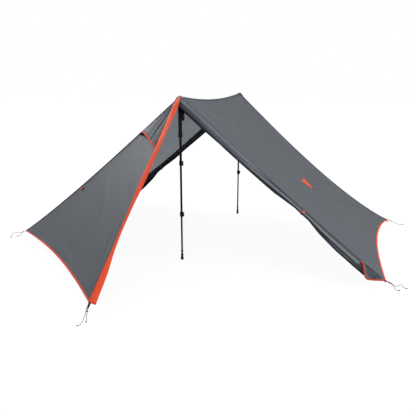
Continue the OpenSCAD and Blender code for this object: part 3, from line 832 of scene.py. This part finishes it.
# how far the storm flap reaches on both sides of the zip edge, in millimetres
STORM_INNER = [(0, 9), (0.05, 9), (0.2, 10), (0.36, 12), (0.55, 7), (0.66, -1), (0.75, -9),
               (0.85, -9), (0.93, -1), (1.005, 2)]
STORM_OUTER = [(0, 20), (0.015, 25), (0.04, 38), (0.15, 45), (0.3, 41), (0.45, 36), (0.55, 28),
               (0.7, 20), (0.8, 20), (0.9, 32), (1.005, 50)]


def storm_flap():
    """Two facets that meet in a ridge over the zip; the lower end flares and turns under."""
    t, w = column(0.009, 1.004, 141), row(0, 1, 29)
    inner, outer = lookup(STORM_INNER, t), lookup(STORM_OUTER, t)
    offset = -inner * (1 - w) + outer * w
    low = ease((t - 0.68) / 0.25)
    ridge = (0.004 + 0.002 * low) * np.clip(1 - np.abs(w - 0.42) / 0.58, 0, 1) ** 1.3
    turned = (0.004 + 0.019 * low) * np.clip((w - 0.5) / 0.5, 0, None) ** 1.3
    pleat = 0.005 * low * bell(w - 0.74, 0.07)
    waver = 0.0014 * np.sin(17 * t + 3 * w) + 0.001 * np.sin(31 * t - 4 * w)
    lift = STORM_LIFT + (ridge - turned + pleat + waver) * ease(t / 0.08)
    points = zip_edge(t) - DOOR_IN * offset[..., None] + DOOR_NORMAL * lift[..., None]
    piece = sheet_piece("zip_storm_flap", points, stack(t * ZIP_L, offset), [M["orange"]],
                        DOOR_NORMAL, thickness=0.0012, slot="orange_fabric")
    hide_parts("storm_flap")
    edges = [tape_piece("storm_flap_edge_" + where, edge, DOOR_IN, DOOR_NORMAL, 0.004, 0.0024,
                        **ORANGE_TAPE)
             for where, edge in (("inner", points[:, 0] - DOOR_IN * 0.001),
                                 ("outer", points[:, -1] + DOOR_IN * 0.001))]


storm_flap()


def zip_chain():
    """Both tapes and the spiral coil between them."""
    top, bottom = 0.06, 0.97
    start = zip_edge(top) + DOOR_IN * 0.008
    end = zip_edge(bottom) + DOOR_IN * 0.008
    coils = 420
    along = np.linspace(0, 1, coils * 8 + 1)
    angle = 2 * math.pi * coils * along
    path = lerp(start, end, along) + DOOR_IN * (0.0024 * np.cos(angle))[:, None] \
        + DOOR_NORMAL * (0.0009 * np.sin(angle))[:, None]
    ahead = unit(np.gradient(path, axis=0))
    a = unit(np.cross(ahead, ZIP_DIR))
    rings = round_rings(path, a, np.cross(ahead, a), 0.00045, 4)
    coil = loft_piece("zip_spiral", rings, np.zeros(rings.shape[:2] + (2,)), [M["zip"]],
                      slot="zip_plastic")
    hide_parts("zip_coil")
    line = lerp(start, end, np.linspace(0, 1, 61))
    tape_piece("zip_tape", line + DOOR_IN * 0.006 - DOOR_NORMAL * 0.0016, DOOR_IN, DOOR_NORMAL,
               0.014, 0.0008, [M["webbing"]], slot="zip_plastic")


zip_chain()


# ---- vent
def rim_end(s):
    """Where the hood's rim lies; it hooks down just beside the hip."""
    return vent_end(s) + 0.02 + 0.017 * bell(s, 0.055)


# each fold of the hood: its line across the cloth, slant, height in millimetres and width
HOOD_FOLDS = [(0.12, 0.05, -3.5, 0.035), (0.22, 0.08, 3, 0.06), (0.36, -0.04, -4.5, 0.06),
              (0.5, 0.02, 2, 0.05), (0.57, 0.12, -3, 0.035), (0.7, 0.05, 3.5, 0.07),
              (0.87, -0.08, -3.5, 0.04)]


def hood(s, k):
    """The hood stands off the door most in the middle of its rim; folds run down from the peak."""
    s, k = np.broadcast_arrays(np.asarray(s, float), np.asarray(k, float))
    rise = 0.0035 + 0.036 * hump(s) ** 0.9 * k**0.8
    folds = sum(size * bell(s - line - slant * k, width)
                for line, slant, size, width in HOOD_FOLDS) / 1000
    strut = bell(s - 0.42, 0.07) * bell(k - 0.93, 0.18)
    held = span(s, 0, 1, 0.12) * ease(k / 0.2)
    rise = rise + folds * held * (1 - strut) + 0.0015 * strut
    return door(s, 0.03 + (rim_end(s) - 0.03) * k) + DOOR_NORMAL * rise[..., None]


def vent():
    k = row(0, 1, 41)
    points = hood(column(0, 0.968, 81), k)
    hood_piece = sheet_piece("vent_canopy", points, door_flat(points), CLOTH, DOOR_NORMAL)
    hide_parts("vent_hood")
    rim, out = points[:, -1], unit(points[:, -1] - points[:, -4])
    rim_piece = binding("vent_rim_tape", rim + out * 0.003, out, DOOR_NORMAL, 0.011)
    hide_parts("vent_trim")
    s = column(0, 1, 41)
    net_points = door(s, 0.06 + (vent_end(s) - 0.06 + 0.036) * k) - DOOR_NORMAL * 0.0012
    net = sheet_piece("vent_net", net_points, door_flat(net_points), [M["net"]], DOOR_NORMAL,
                      thickness=0.0006, slot="mesh")
    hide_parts("vent_mesh")


vent()


# ---- peaks
def peak_patch(end):
    """A rounded cap of cloth over the pole's head, down both slopes and lapped over the edge."""
    turn, share = turns(96)[None, :], column(0.01, 1, 33)
    x = 0.031 * share * np.cos(turn)
    inside = share * np.sin(turn)
    y_in = 0.036 * np.clip(inside, 0, None)
    lap = np.clip(-inside, 0, None) * math.pi / 2
    fall = (RIDGE_Z - CORNER_Z) / HALF_W
    roof = -fall * (np.sqrt(x**2 + 0.005**2) - 0.005) - 0.03 * slope_sag(np.abs(x) / HALF_W)
    domed = 0.0025 - fall * (np.sqrt(x**2 + 0.022**2) - 0.022)
    z = RIDGE_Z - RIDGE_SAG * hump(y_in / RIDGE_L) + 0.0016 + roof
    z = z + (domed - roof) * (1 - share**2) - 0.028 * (1 - np.cos(lap))
    y = y_in - 0.022 * np.sin(lap)
    points = stack(x, RIDGE_L * end + (1 - 2 * end) * y, z)
    rows, cols = points.shape[:2]
    faces = grid_faces(rows, cols, wrap_cols=True) + [tuple(range(cols - 1, -1, -1))]
    piece = mesh_piece(END_NAMES[end] + "_peak_patch", points, faces, stack(x, y),
                       [M["fabric_thick"]], outwards=Z_AXIS)
    thicken(piece, 0.001, False)
    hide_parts(END_NAMES[end] + "_peak_cup")


peak_patch(0)
peak_patch(1)


# ---- rolled doors
FRONT_DEPTH = [(0.008, 24), (0.03, 29), (0.06, 31), (0.12, 32), (0.2, 30), (0.35, 28), (0.5, 24),
               (0.59, 14), (0.66, 15), (0.72, 26), (0.8, 33), (0.88, 34), (0.95, 33)]
REAR_DEPTH = [(0.05, 12), (0.12, 25), (0.2, 29), (0.3, 28), (0.42, 24), (0.52, 26), (0.59, 22),
              (0.66, 24), (0.72, 38), (0.82, 54), (0.9, 41), (0.985, 6)]
ROLL_WIDTH = [(0.008, 7), (0.05, 12), (0.25, 18), (0.5, 22), (0.59, 15), (0.66, 15), (0.74, 24),
              (0.87, 22), (0.905, 14)]
ROLL_GAP = 0.003
TIE_AT = 0.625
WRAPS = 9


def roll_depth(end, t):
    return lookup(REAR_DEPTH if end else FRONT_DEPTH, t)


def roll_stand(t):
    """How far the roll's middle stands outside the hip."""
    return 0.009 + 0.018 * (1 - ease((t - 0.01) / 0.07))


def roll_centre(side, end, t):
    below, aside = roll_depth(end, t) + ROLL_GAP, roll_stand(t)
    return hip(side, end, t) - panel_normal(side) * below[..., None] \
        + outward(end) * aside[..., None]


DROPS = [(0.89, 0), (0.897, 10), (0.904, 50), (0.911, 78), (0.921, 82), (0.94, 64), (0.965, 37),
         (0.99, 10)]


def roll_face(side, end, t):
    """The hem line of the door's loose corner, below the hip."""
    t = np.asarray(t, float)
    p = hip(side, end, t)
    p[..., 2] -= np.maximum(lookup(DROPS, t), 0.022 * end)
    return p + outward(end) * (0.033 * np.clip((1.0 - t) / 0.09, 0, 1))[..., None]


# each fold of a roll: its angle round from the hip at four places along it, drift, depth, width and
# share of painted shade
ROLL_FOLDS = [((1.3, 1.1, 0.42, 0.34), 0.06, 0.42, 0.32, 1.0),
              ((2.1, 1.85, 1.75, 1.75), 0.2, 0.34, 0.16, 0.9),
              ((2.55, 2.3, 2.2, 2.2), 0.13, 0.3, 0.11, 0.6),
              ((2.85, 2.85, 2.7, 2.65), 0.16, 0.4, 0.2, 1.0)]
FOLD_PLACES = (0.05, 0.35, 0.5, 0.9)
# painted light on the cloth between its folds (painted shade, deepest on the rear roll and on the
# front roll's lower half), and how strongly the folds' painted shade and highlight show, for the
# front and the rear
PAINTED_LEVEL_PLACES, PAINTED_LIGHT_LEVEL = (0.1, 0.38, 0.48, 0.9), ((0.39, 0.41, 0.23, 0.24), (0.12, 0.16, 0.12, 0.16))
PAINTED_CONTRAST_PLACES, PAINTED_FOLD_CONTRAST = (0.1, 0.36, 0.46), ((0.36, 0.55, 1), (1.8, 1.8, 1.8))


def roll_creases(t, turned, phase):
    """How deep the folds cut into the roll, how much painted shade lies in them and how much
    painted highlight on the cloth beside them.
    """
    from_hip = math.pi - np.abs(turned - math.pi)
    far_side = np.where(turned > math.pi, 1.9, 0)
    cut, painted_shade, painted_highlight = 0, 0, 0
    for number, (angles, drift, deep, wide, painted_shade_share) in enumerate(ROLL_FOLDS):
        line = np.interp(t, FOLD_PLACES, angles) \
            + drift * (np.sin(7 * t + phase + 3 * number + far_side)
                       + 0.5 * np.sin(23 * t + 5 * number + far_side))
        notch = bell(from_hip - line, wide)
        cut = cut + deep * notch
        # painted shade in the fold, and painted highlight on the cloth just past it
        painted_shade = np.maximum(painted_shade, notch * painted_shade_share)
        painted_highlight = np.maximum(painted_highlight, bell(from_hip - line - 0.24 - wide, 0.22) * (1 - 0.3 * number))
    return cut, painted_shade, painted_highlight


def roll_cloth(side, end):
    """Points, metres of cloth and values of painted shade and painted highlight of the wound part
    of a rolled door.
    """
    n = panel_normal(side)
    t = column(0.03 if end else 0.01, 0.897, 131)
    angle = row(0, 2 * math.pi * WRAPS, WRAPS * 22 + 1)
    phase = 1.7 * side + 2.3 * end
    cut, painted_shade, painted_highlight = roll_creases(t, angle % (2 * math.pi), phase)
    ripple = (0.05 * np.cos(3 * angle + phase + 5 * t) + 0.04 * np.cos(5 * angle - 7 * t + phase)
              + 0.03 * np.cos(8 * angle + 11 * t)) - cut
    loose = ease(np.abs(t - TIE_AT) / 0.12)
    scale = (1 - 0.88 * angle / angle.max()) * (1 + (ripple - 0.11) * (0.25 + 0.75 * loose) * 0.8)
    depth = roll_depth(end, t)
    below = depth + ROLL_GAP - depth * scale * np.cos(angle)
    aside = roll_stand(t) + lookup(ROLL_WIDTH, t) * scale * np.sin(angle)
    plumb = t + (0.78 * ease((t - 0.78) / 0.1) + 0.6 * ease((t - 0.85) / 0.047)) * below / HIP_L
    points = hip(side, end, plumb) - n * below[..., None] + outward(end) * aside[..., None]
    points = lerp(hip(side, end, t) - n * 0.001, points, ease(angle / 0.9) + 0 * t)
    # painted shade along the roll, with painted shade in its folds and painted highlight beside
    # them
    tone = np.interp(t, PAINTED_LEVEL_PLACES, PAINTED_LIGHT_LEVEL[end]) \
        + np.interp(t, PAINTED_CONTRAST_PLACES, PAINTED_FOLD_CONTRAST[end]) * (0.4 * painted_highlight * (1 - painted_shade) - 0.24 * painted_shade)
    return points, stack(t * HIP_L, arc_length(points[60])), tone


def web_cloth(side, end):
    """The same for the door's loose corner, between the roll and the peg corner."""
    t, k = column(0.891, 0.992, 41), row(0, 1, 17)
    top = hip(side, end, t) - panel_normal(side) * 0.001
    tuck = 0.004 * np.sin(math.pi * k) * np.sin(40 * t) \
        - 0.006 * np.sin(math.pi * k) * bell(t - 0.965, 0.012)
    points = lerp(top, roll_face(side, end, t), k + 0 * t) + outward(end) * tuck[..., None]
    # painted shade over the loose corner, streaks of painted fold shade and highlight, and a
    # painted shadow across it near its lower end
    tone = 0.22 + 0.045 * np.cos(13 * k + 30 * t) + 0.03 * np.cos(29 * k) \
        - 0.22 * bell(t - 0.953, 0.011) * ease((k - 0.3) / 0.4)
    return points, stack(t * HIP_L, k * 0.08), tone


def rolled_door(side, end, name, node):
    """The door's cloth hangs over the hip's edge and winds into a loose roll below it."""
    roll, web = roll_cloth(side, end), web_cloth(side, end)
    faces = grid_faces(*roll[2].shape)
    faces += [tuple(i + roll[2].size for i in f) for f in grid_faces(*web[2].shape)]
    points, uvs, tone = (np.concatenate([a.reshape(roll[2].size, -1), b.reshape(web[2].size, -1)])
                         for a, b in zip(roll, web))
    piece = mesh_piece(name, points, faces, uvs, [M["rolled"]])
    # per-point painted shade and painted highlight for the rolled cloth's colour
    layer = piece.data.attributes.new("painted_roll_light", "FLOAT", "POINT")
    layer.data.foreach_set("value", tone.astype(np.float32).ravel())
    thicken(piece, 0.0006, False)
    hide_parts(node)
    return piece


def loose_edge(side, end, name):
    """A single layer of the door that stands off the roll's inner side and lets light through."""
    t, k = column(0.09, 0.57, 97), row(0, 1, 5)
    turn = -0.95 + 0.12 * np.sin(13 * t)
    n, out = panel_normal(side), outward(end)
    depth, width = roll_depth(end, t) * 0.94, lookup(ROLL_WIDTH, t) * 0.94
    start = roll_centre(side, end, t) + n * (depth * np.cos(turn))[..., None] \
        + out * (width * np.sin(turn))[..., None]
    reach = (0.007 + 0.003 * np.sin(19 * t + 1)) * span(t, 0.09, 0.57, 0.05)
    points = start + unit(0.35 * n - out) * (reach * k)[..., None]
    return sheet_piece(name, points, stack(t * HIP_L, reach * k), CLOTH, n)


def loose_hem(side, end, name):
    """The orange hem of the loose corner: down across the roll, then along to the peg corner."""
    t = np.concatenate([np.linspace(0.887, 0.921, 26), np.linspace(0.924, 0.9985, 26)])
    path = roll_face(side, end, t) + outward(end) * 0.001
    across = np.cross(unit(np.gradient(path, axis=0)), outward(end))
    across = unit(across) * np.where(across[:, 2:3] >= 0, 1, -1)
    return binding(name, path + across * 0.0035, across, outward(end), 0.01)


def band_round_roll(side, end, name):
    """The orange strap of a tie-back, drawn tight round the roll."""
    turn = turns(48)[:, None]
    width, depth = lookup(ROLL_WIDTH, TIE_AT) + 0.002, roll_depth(end, TIE_AT) + 0.002
    n, out = panel_normal(side), outward(end)
    path = roll_centre(side, end, TIE_AT) + out * width * np.sin(turn) + n * depth * np.cos(turn)
    normal = unit(out * np.sin(turn) / width + n * np.cos(turn) / depth)
    return tape_piece(name, path, along_hip(side, end, TIE_AT), normal, 0.012, 0.0018,
                      closed=True, **ORANGE_TAPE)


TOGGLE_OUTLINE = [(-14, 0.2), (-13.9, 2.2), (-12.8, 3.6), (-11, 4), (-4, 4), (-3, 3.2), (3, 3.2),
                  (4, 4), (11, 4), (12.8, 3.6), (13.9, 2.2), (14, 0.2)]


def toggle(name, place, axis):
    return lathe_piece(name, place, axis, TOGGLE_OUTLINE, [M["plastic"]], slot="black_plastic")


def tie_back(side, end, name):
    reach = lookup(ROLL_WIDTH, TIE_AT) + 0.0072
    place = roll_centre(side, end, TIE_AT) + outward(end) * reach
    return band_round_roll(side, end, name + "_strap"), \
        toggle(name + "_toggle", place, along_hip(side, end, TIE_AT))


hems, ties = [], []
for side, end in ((RIGHT, 0), (LEFT, 1), (RIGHT, 1)):
    where = f"{END_NAMES[end]}_{SIDE_NAMES[side]}"
    door_roll = rolled_door(side, end, where + "_rolled_door", where + "_flap")
    hems.append(loose_hem(side, end, where + "_rolled_hem"))
    edge_piece = loose_edge(side, end, where + "_rolled_edge")
    ties.append(tie_back(side, end, where + "_tie"))
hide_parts("front_right_flap_hem")
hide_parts("rear_flap_hems")
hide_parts("tieback_straps")
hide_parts("tieback_toggles")


def spare_tie():
    """The staked door's own tie-back hangs unused beside the hip."""
    k = np.linspace(0, 1, 21)
    path = door(0.012 + 0.06 * k, 0.598 + 0.004 * k) \
        + DOOR_NORMAL * (0.004 + 0.006 * hump(k))[:, None]
    down = unit(door(0.05, 0.62) - door(0.05, 0.58))
    tape_piece("spare_tie_strap", path, ZIP_DIR * 0.2 + down, DOOR_NORMAL, 0.012, 0.0016,
               **ORANGE_TAPE)
    toggle("spare_tie_toggle", door(0.085, 0.6) + DOOR_NORMAL * 0.009,
           unit(door(0.085, 0.61) - door(0.085, 0.59)))


spare_tie()


# ---- side guy points
def guy_point(side, where):
    """A tapering orange patch sewn to the slope, with a webbing ring at its lower end."""
    ring_at = np.array(MOUNTS[where + "_guy_point"])
    at = panel(side, GUY_U, GUY_V)
    down = unit(panel(side, GUY_U, GUY_V + 0.04) - at)
    n = unit(np.cross(down, -side * Y_AXIS))
    n = n * np.sign(n[2])
    k, w = column(0, 1, 31), row(-1, 1, 21)
    half = 0.045 * (1 - k) ** 0.9 + 0.006
    lift = 0.0045 + 0.003 * k**2 + 0.0018 * np.cos(math.pi * w) * k
    points = at + down * (-0.047 + 0.102 * k)[..., None] + Y_AXIS * (half * w)[..., None] \
        + n * lift[..., None]
    patch = sheet_piece(where + "_guy_patch", points, stack(0.11 * k, half * w + 0.05),
                        [M["orange"]], n, thickness=0.0014, slot="orange_fabric")
    rim = np.concatenate([points[::-1, 0], points[0, 1:-1], points[:, -1]])
    binding(where + "_guy_patch_edge", rim, unit(rim - (at - down * 0.015)), n, 0.004, 0.0022)
    turn = turns(40)[:, None]
    out = 0.0075 * (down * np.cos(turn) + Y_AXIS * np.sin(turn))
    ring = tape_piece(where + "_guy_ring", ring_at + out, n, unit(out), 0.0026, 0.0028,
                      closed=True, **WEBBING)
    return patch, ring


guy_point(LEFT, "left")
right_patch, right_ring = guy_point(RIGHT, "right")
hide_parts("side_guy_tabs")
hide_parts("side_guy_loops")


# ---- corner hardware
# each staked point, and the direction of its pull
STAKED = [("tip", TIP, (-0.1, -0.85, -0.85)),
          ("front_left", corner(LEFT, 0), (-1, -0.1, -0.52)),
          ("front_right", corner(RIGHT, 0), (1, 0.2, -0.52)),
          ("rear_left", corner(LEFT, 1), (-1, 0.25, -0.52)),
          ("rear_right", corner(RIGHT, 1), (1, 0.25, -0.52))]


def corner_loop(where, at, heading):
    """Folded webbing, sewn into the corner, that the tensioner hangs in."""
    x_axis = unit(heading)
    y_axis = unit(np.cross(Z_AXIS, x_axis))
    z_axis = np.cross(x_axis, y_axis)
    turn = np.linspace(math.pi / 2, -math.pi / 2, 15)
    start, straight, gap = -0.004, 0.0258, 0.0028
    x = np.concatenate([np.linspace(start, straight, 8)[:-1], straight + 0.0012 * np.cos(turn),
                        np.linspace(straight, start, 8)[1:]])
    z = np.concatenate([np.full(7, gap), gap * np.sin(turn), np.full(7, -gap)])
    path = at + x_axis * x[:, None] + z_axis * z[:, None]
    normal = unit(np.cross(np.gradient(path, axis=0), y_axis))
    return tape_piece(where + "_loop", path, y_axis, normal, 0.011, 0.0013, **WEBBING)


loops = [corner_loop(*staked) for staked in STAKED]
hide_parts("corner_loops")


# ---- poles
GRIP_FROM = 0.935
# (radius, height) of the bore for the tube
GRIP_BORE = np.array([(0.0002, 0.226), (0.00915, 0.226), (0.00915, 0)])
# (height, radius) of the grip's outside, in millimetres
GRIP_OUTLINE = [(0, 15.5), (3, 16.6), (8, 16.8), (22, 14.5), (60, 13), (100, 13.8), (140, 13.4),
                (175, 14.6), (205, 14), (235, 13.4), (250, 14), (256, 15), (261.2, 14.1),
                (265.6, 11.5), (268.8, 7.8), (270.6, 3.5), (271, 0.4)]


def grip_piece(end):
    """Foam grip: ribbed lower sleeve, shallow finger waves above, and a smooth domed head."""
    where, y = END_NAMES[end], RIDGE_L * end
    heights, radii = np.array(GRIP_OUTLINE).T / 1000
    h = np.unique(np.concatenate([np.linspace(0, 0.25, 150), heights]))[:, None]
    ribs = 0.0006 * span(h, 0.012, 0.104, 0.01) * np.abs(np.sin(math.pi * h / 0.0065)) ** 0.6
    waves = 0.0007 * span(h, 0.11, 0.235, 0.02) * np.sin(2 * math.pi * h / 0.026)
    turn = turns(40)
    radius = np.interp(h, heights, radii) - ribs + waves * np.clip(-np.sin(turn), 0, 1)
    waist = 1 - 0.06 * span(h, 0.1, 0.25, 0.03)
    outside = stack(radius * waist * np.cos(turn), y + radius * np.sin(turn), GRIP_FROM + h)
    bore_r, bore_h = GRIP_BORE.T[..., None]
    bore = stack(bore_r * np.cos(turn), y + bore_r * np.sin(turn), GRIP_FROM + bore_h)
    piece = loft_piece(where + "_foam_grip", np.concatenate([outside, bore]),
                       stack(np.concatenate([h, bore_h]), 0.014 * turn), [M["foam"]], closed=True,
                       body=where + "_pole_upper", slot="grip_foam")
    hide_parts(where + "_grip")


def strap_loop(end):
    """A padded webbing loop that hangs from the grip's head."""
    where, y = END_NAMES[end], RIDGE_L * end
    low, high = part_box(where + "_wrist_strap")
    top, bottom = high.z - 0.001, low.z + 0.009
    middle = (top + bottom) / 2
    path = curve([(0.012, y, top + 0.012), (0.02, y - 0.002, top + 0.006),
                  (0.0255, y - 0.003, top - 0.02), (0.0305, y - 0.003, middle),
                  (0.0302, y - 0.002, bottom + 0.008), (0.0245, y, bottom - 0.006),
                  (0.0185, y + 0.002, bottom + 0.008), (0.0178, y + 0.003, middle),
                  (0.0172, y + 0.003, top - 0.02), (0.0145, y + 0.002, top)], 6)
    normal = unit(np.cross(unit(np.gradient(path, axis=0)), Y_AXIS))
    piece = tape_piece(where + "_wrist_loop", path, Y_AXIS, normal, 0.0165, 0.0042,
                       body=where + "_pole_upper", **WEBBING)
    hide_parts(where + "_wrist_strap")


for end in (0, 1):
    grip_piece(end)
    strap_loop(end)


def dress(node, material, bevel=0.0):
    """Gives a frame node its material and, for a moulded part, softened edges."""
    piece = frame["nodes"][node]
    piece.data.materials.clear()
    piece.data.materials.append(M[material])
    piece.data.polygons.foreach_set("use_smooth", [True] * len(piece.data.polygons))
    if bevel:
        soft = piece.modifiers.new("soft_edges", "BEVEL")
        soft.width = bevel
        soft.segments = 2
        soft.limit_method = "ANGLE"
        soft.angle_limit = math.radians(40)
        soft.harden_normals = True
    else:
        crisp = piece.modifiers.new("crisp_edges", "EDGE_SPLIT")
        crisp.split_angle = math.radians(35)


for where in ("front", "rear"):
    for part in ("upper_tube", "middle_tube", "lower_tube"):
        dress(f"{where}_{part}", "tube")
    for part in ("upper_lock", "lower_lock", "upper_lever", "lower_lever"):
        dress(f"{where}_{part}", "plastic", 0.0006)
    dress(where + "_foot", "rubber")
dress("vent_strut", "plastic")
dress("vent_strut_base", "plastic", 0.0004)
dress("zip_slider", "zip", 0.0003)
dress("corner_tensioners", "plastic", 0.0005)
dress("peak_buckle", "plastic", 0.0005)


# ---- floor and light
def stage_piece(name, mesh, tone, glow):
    """A pale floor or backdrop that throws no light of its own on the object."""
    s = Shader(name)
    mesh.materials.append(s.finish(Base_Color=(tone, tone, tone, 1), Roughness=1.0,
                                   Specular_IOR_Level=0.0, Emission_Color=(1, 1, 1, 1),
                                   Emission_Strength=glow))
    piece = link(name, mesh)
    piece.visible_diffuse = piece.visible_glossy = False
    piece.visible_transmission = piece.visible_shadow = False
    return piece


def stage():
    size = 38
    mesh = bpy.data.meshes.new("floor")
    mesh.from_pydata([(-size, -size, 0), (size, -size, 0), (size, size, 0), (-size, size, 0)], [],
                     [(0, 1, 2, 3)])
    stage_piece("floor", mesh, 0.09, 0.93).location.z = -0.0005
    shape = bmesh.new()
    bmesh.ops.create_uvsphere(shape, u_segments=64, v_segments=32, radius=60)
    mesh = bpy.data.meshes.new("backdrop")
    shape.to_mesh(mesh)
    shape.free()
    stage_piece("backdrop", mesh, 0.0, 1.0)


def lights():
    """Soft light from above, little from below, and two large soft boxes."""
    world = bpy.data.worlds.new("studio")
    scene.world = world
    world.use_nodes = True
    tree = world.node_tree
    background = tree.nodes["Background"]
    background.inputs["Color"].default_value = (1, 1, 1, 1)
    where = tree.nodes.new("ShaderNodeTexCoord")
    split = tree.nodes.new("ShaderNodeSeparateXYZ")
    tree.links.new(where.outputs["Generated"], split.inputs[0])
    rise = tree.nodes.new("ShaderNodeMapRange")
    for socket, value in (("From Min", -0.15), ("From Max", 1.0), ("To Min", 0.02),
                          ("To Max", 1.37)):
        rise.inputs[socket].default_value = value
    tree.links.new(split.outputs["Z"], rise.inputs["Value"])
    tree.links.new(rise.outputs[0], background.inputs["Strength"])
    for name, place, size, power in (("key", (-1.9, -3.4, 2.8), 1.8, 8),
                                     ("side", (-4.2, 2.0, 3.2), 2.5, 92),
                                     ("fill", (3.4, -0.8, 1.7), 1.8, 58)):
        data = bpy.data.lights.new(name, "AREA")
        data.size = size
        data.energy = power
        lamp = link(name, data)
        lamp.location = place
        aim = Vector((0, 0.3, 0.6)) - lamp.location
        lamp.rotation_euler = aim.to_track_quat("-Z", "Y").to_euler()


stage()
lights()
scene.view_settings.view_transform = "Standard"
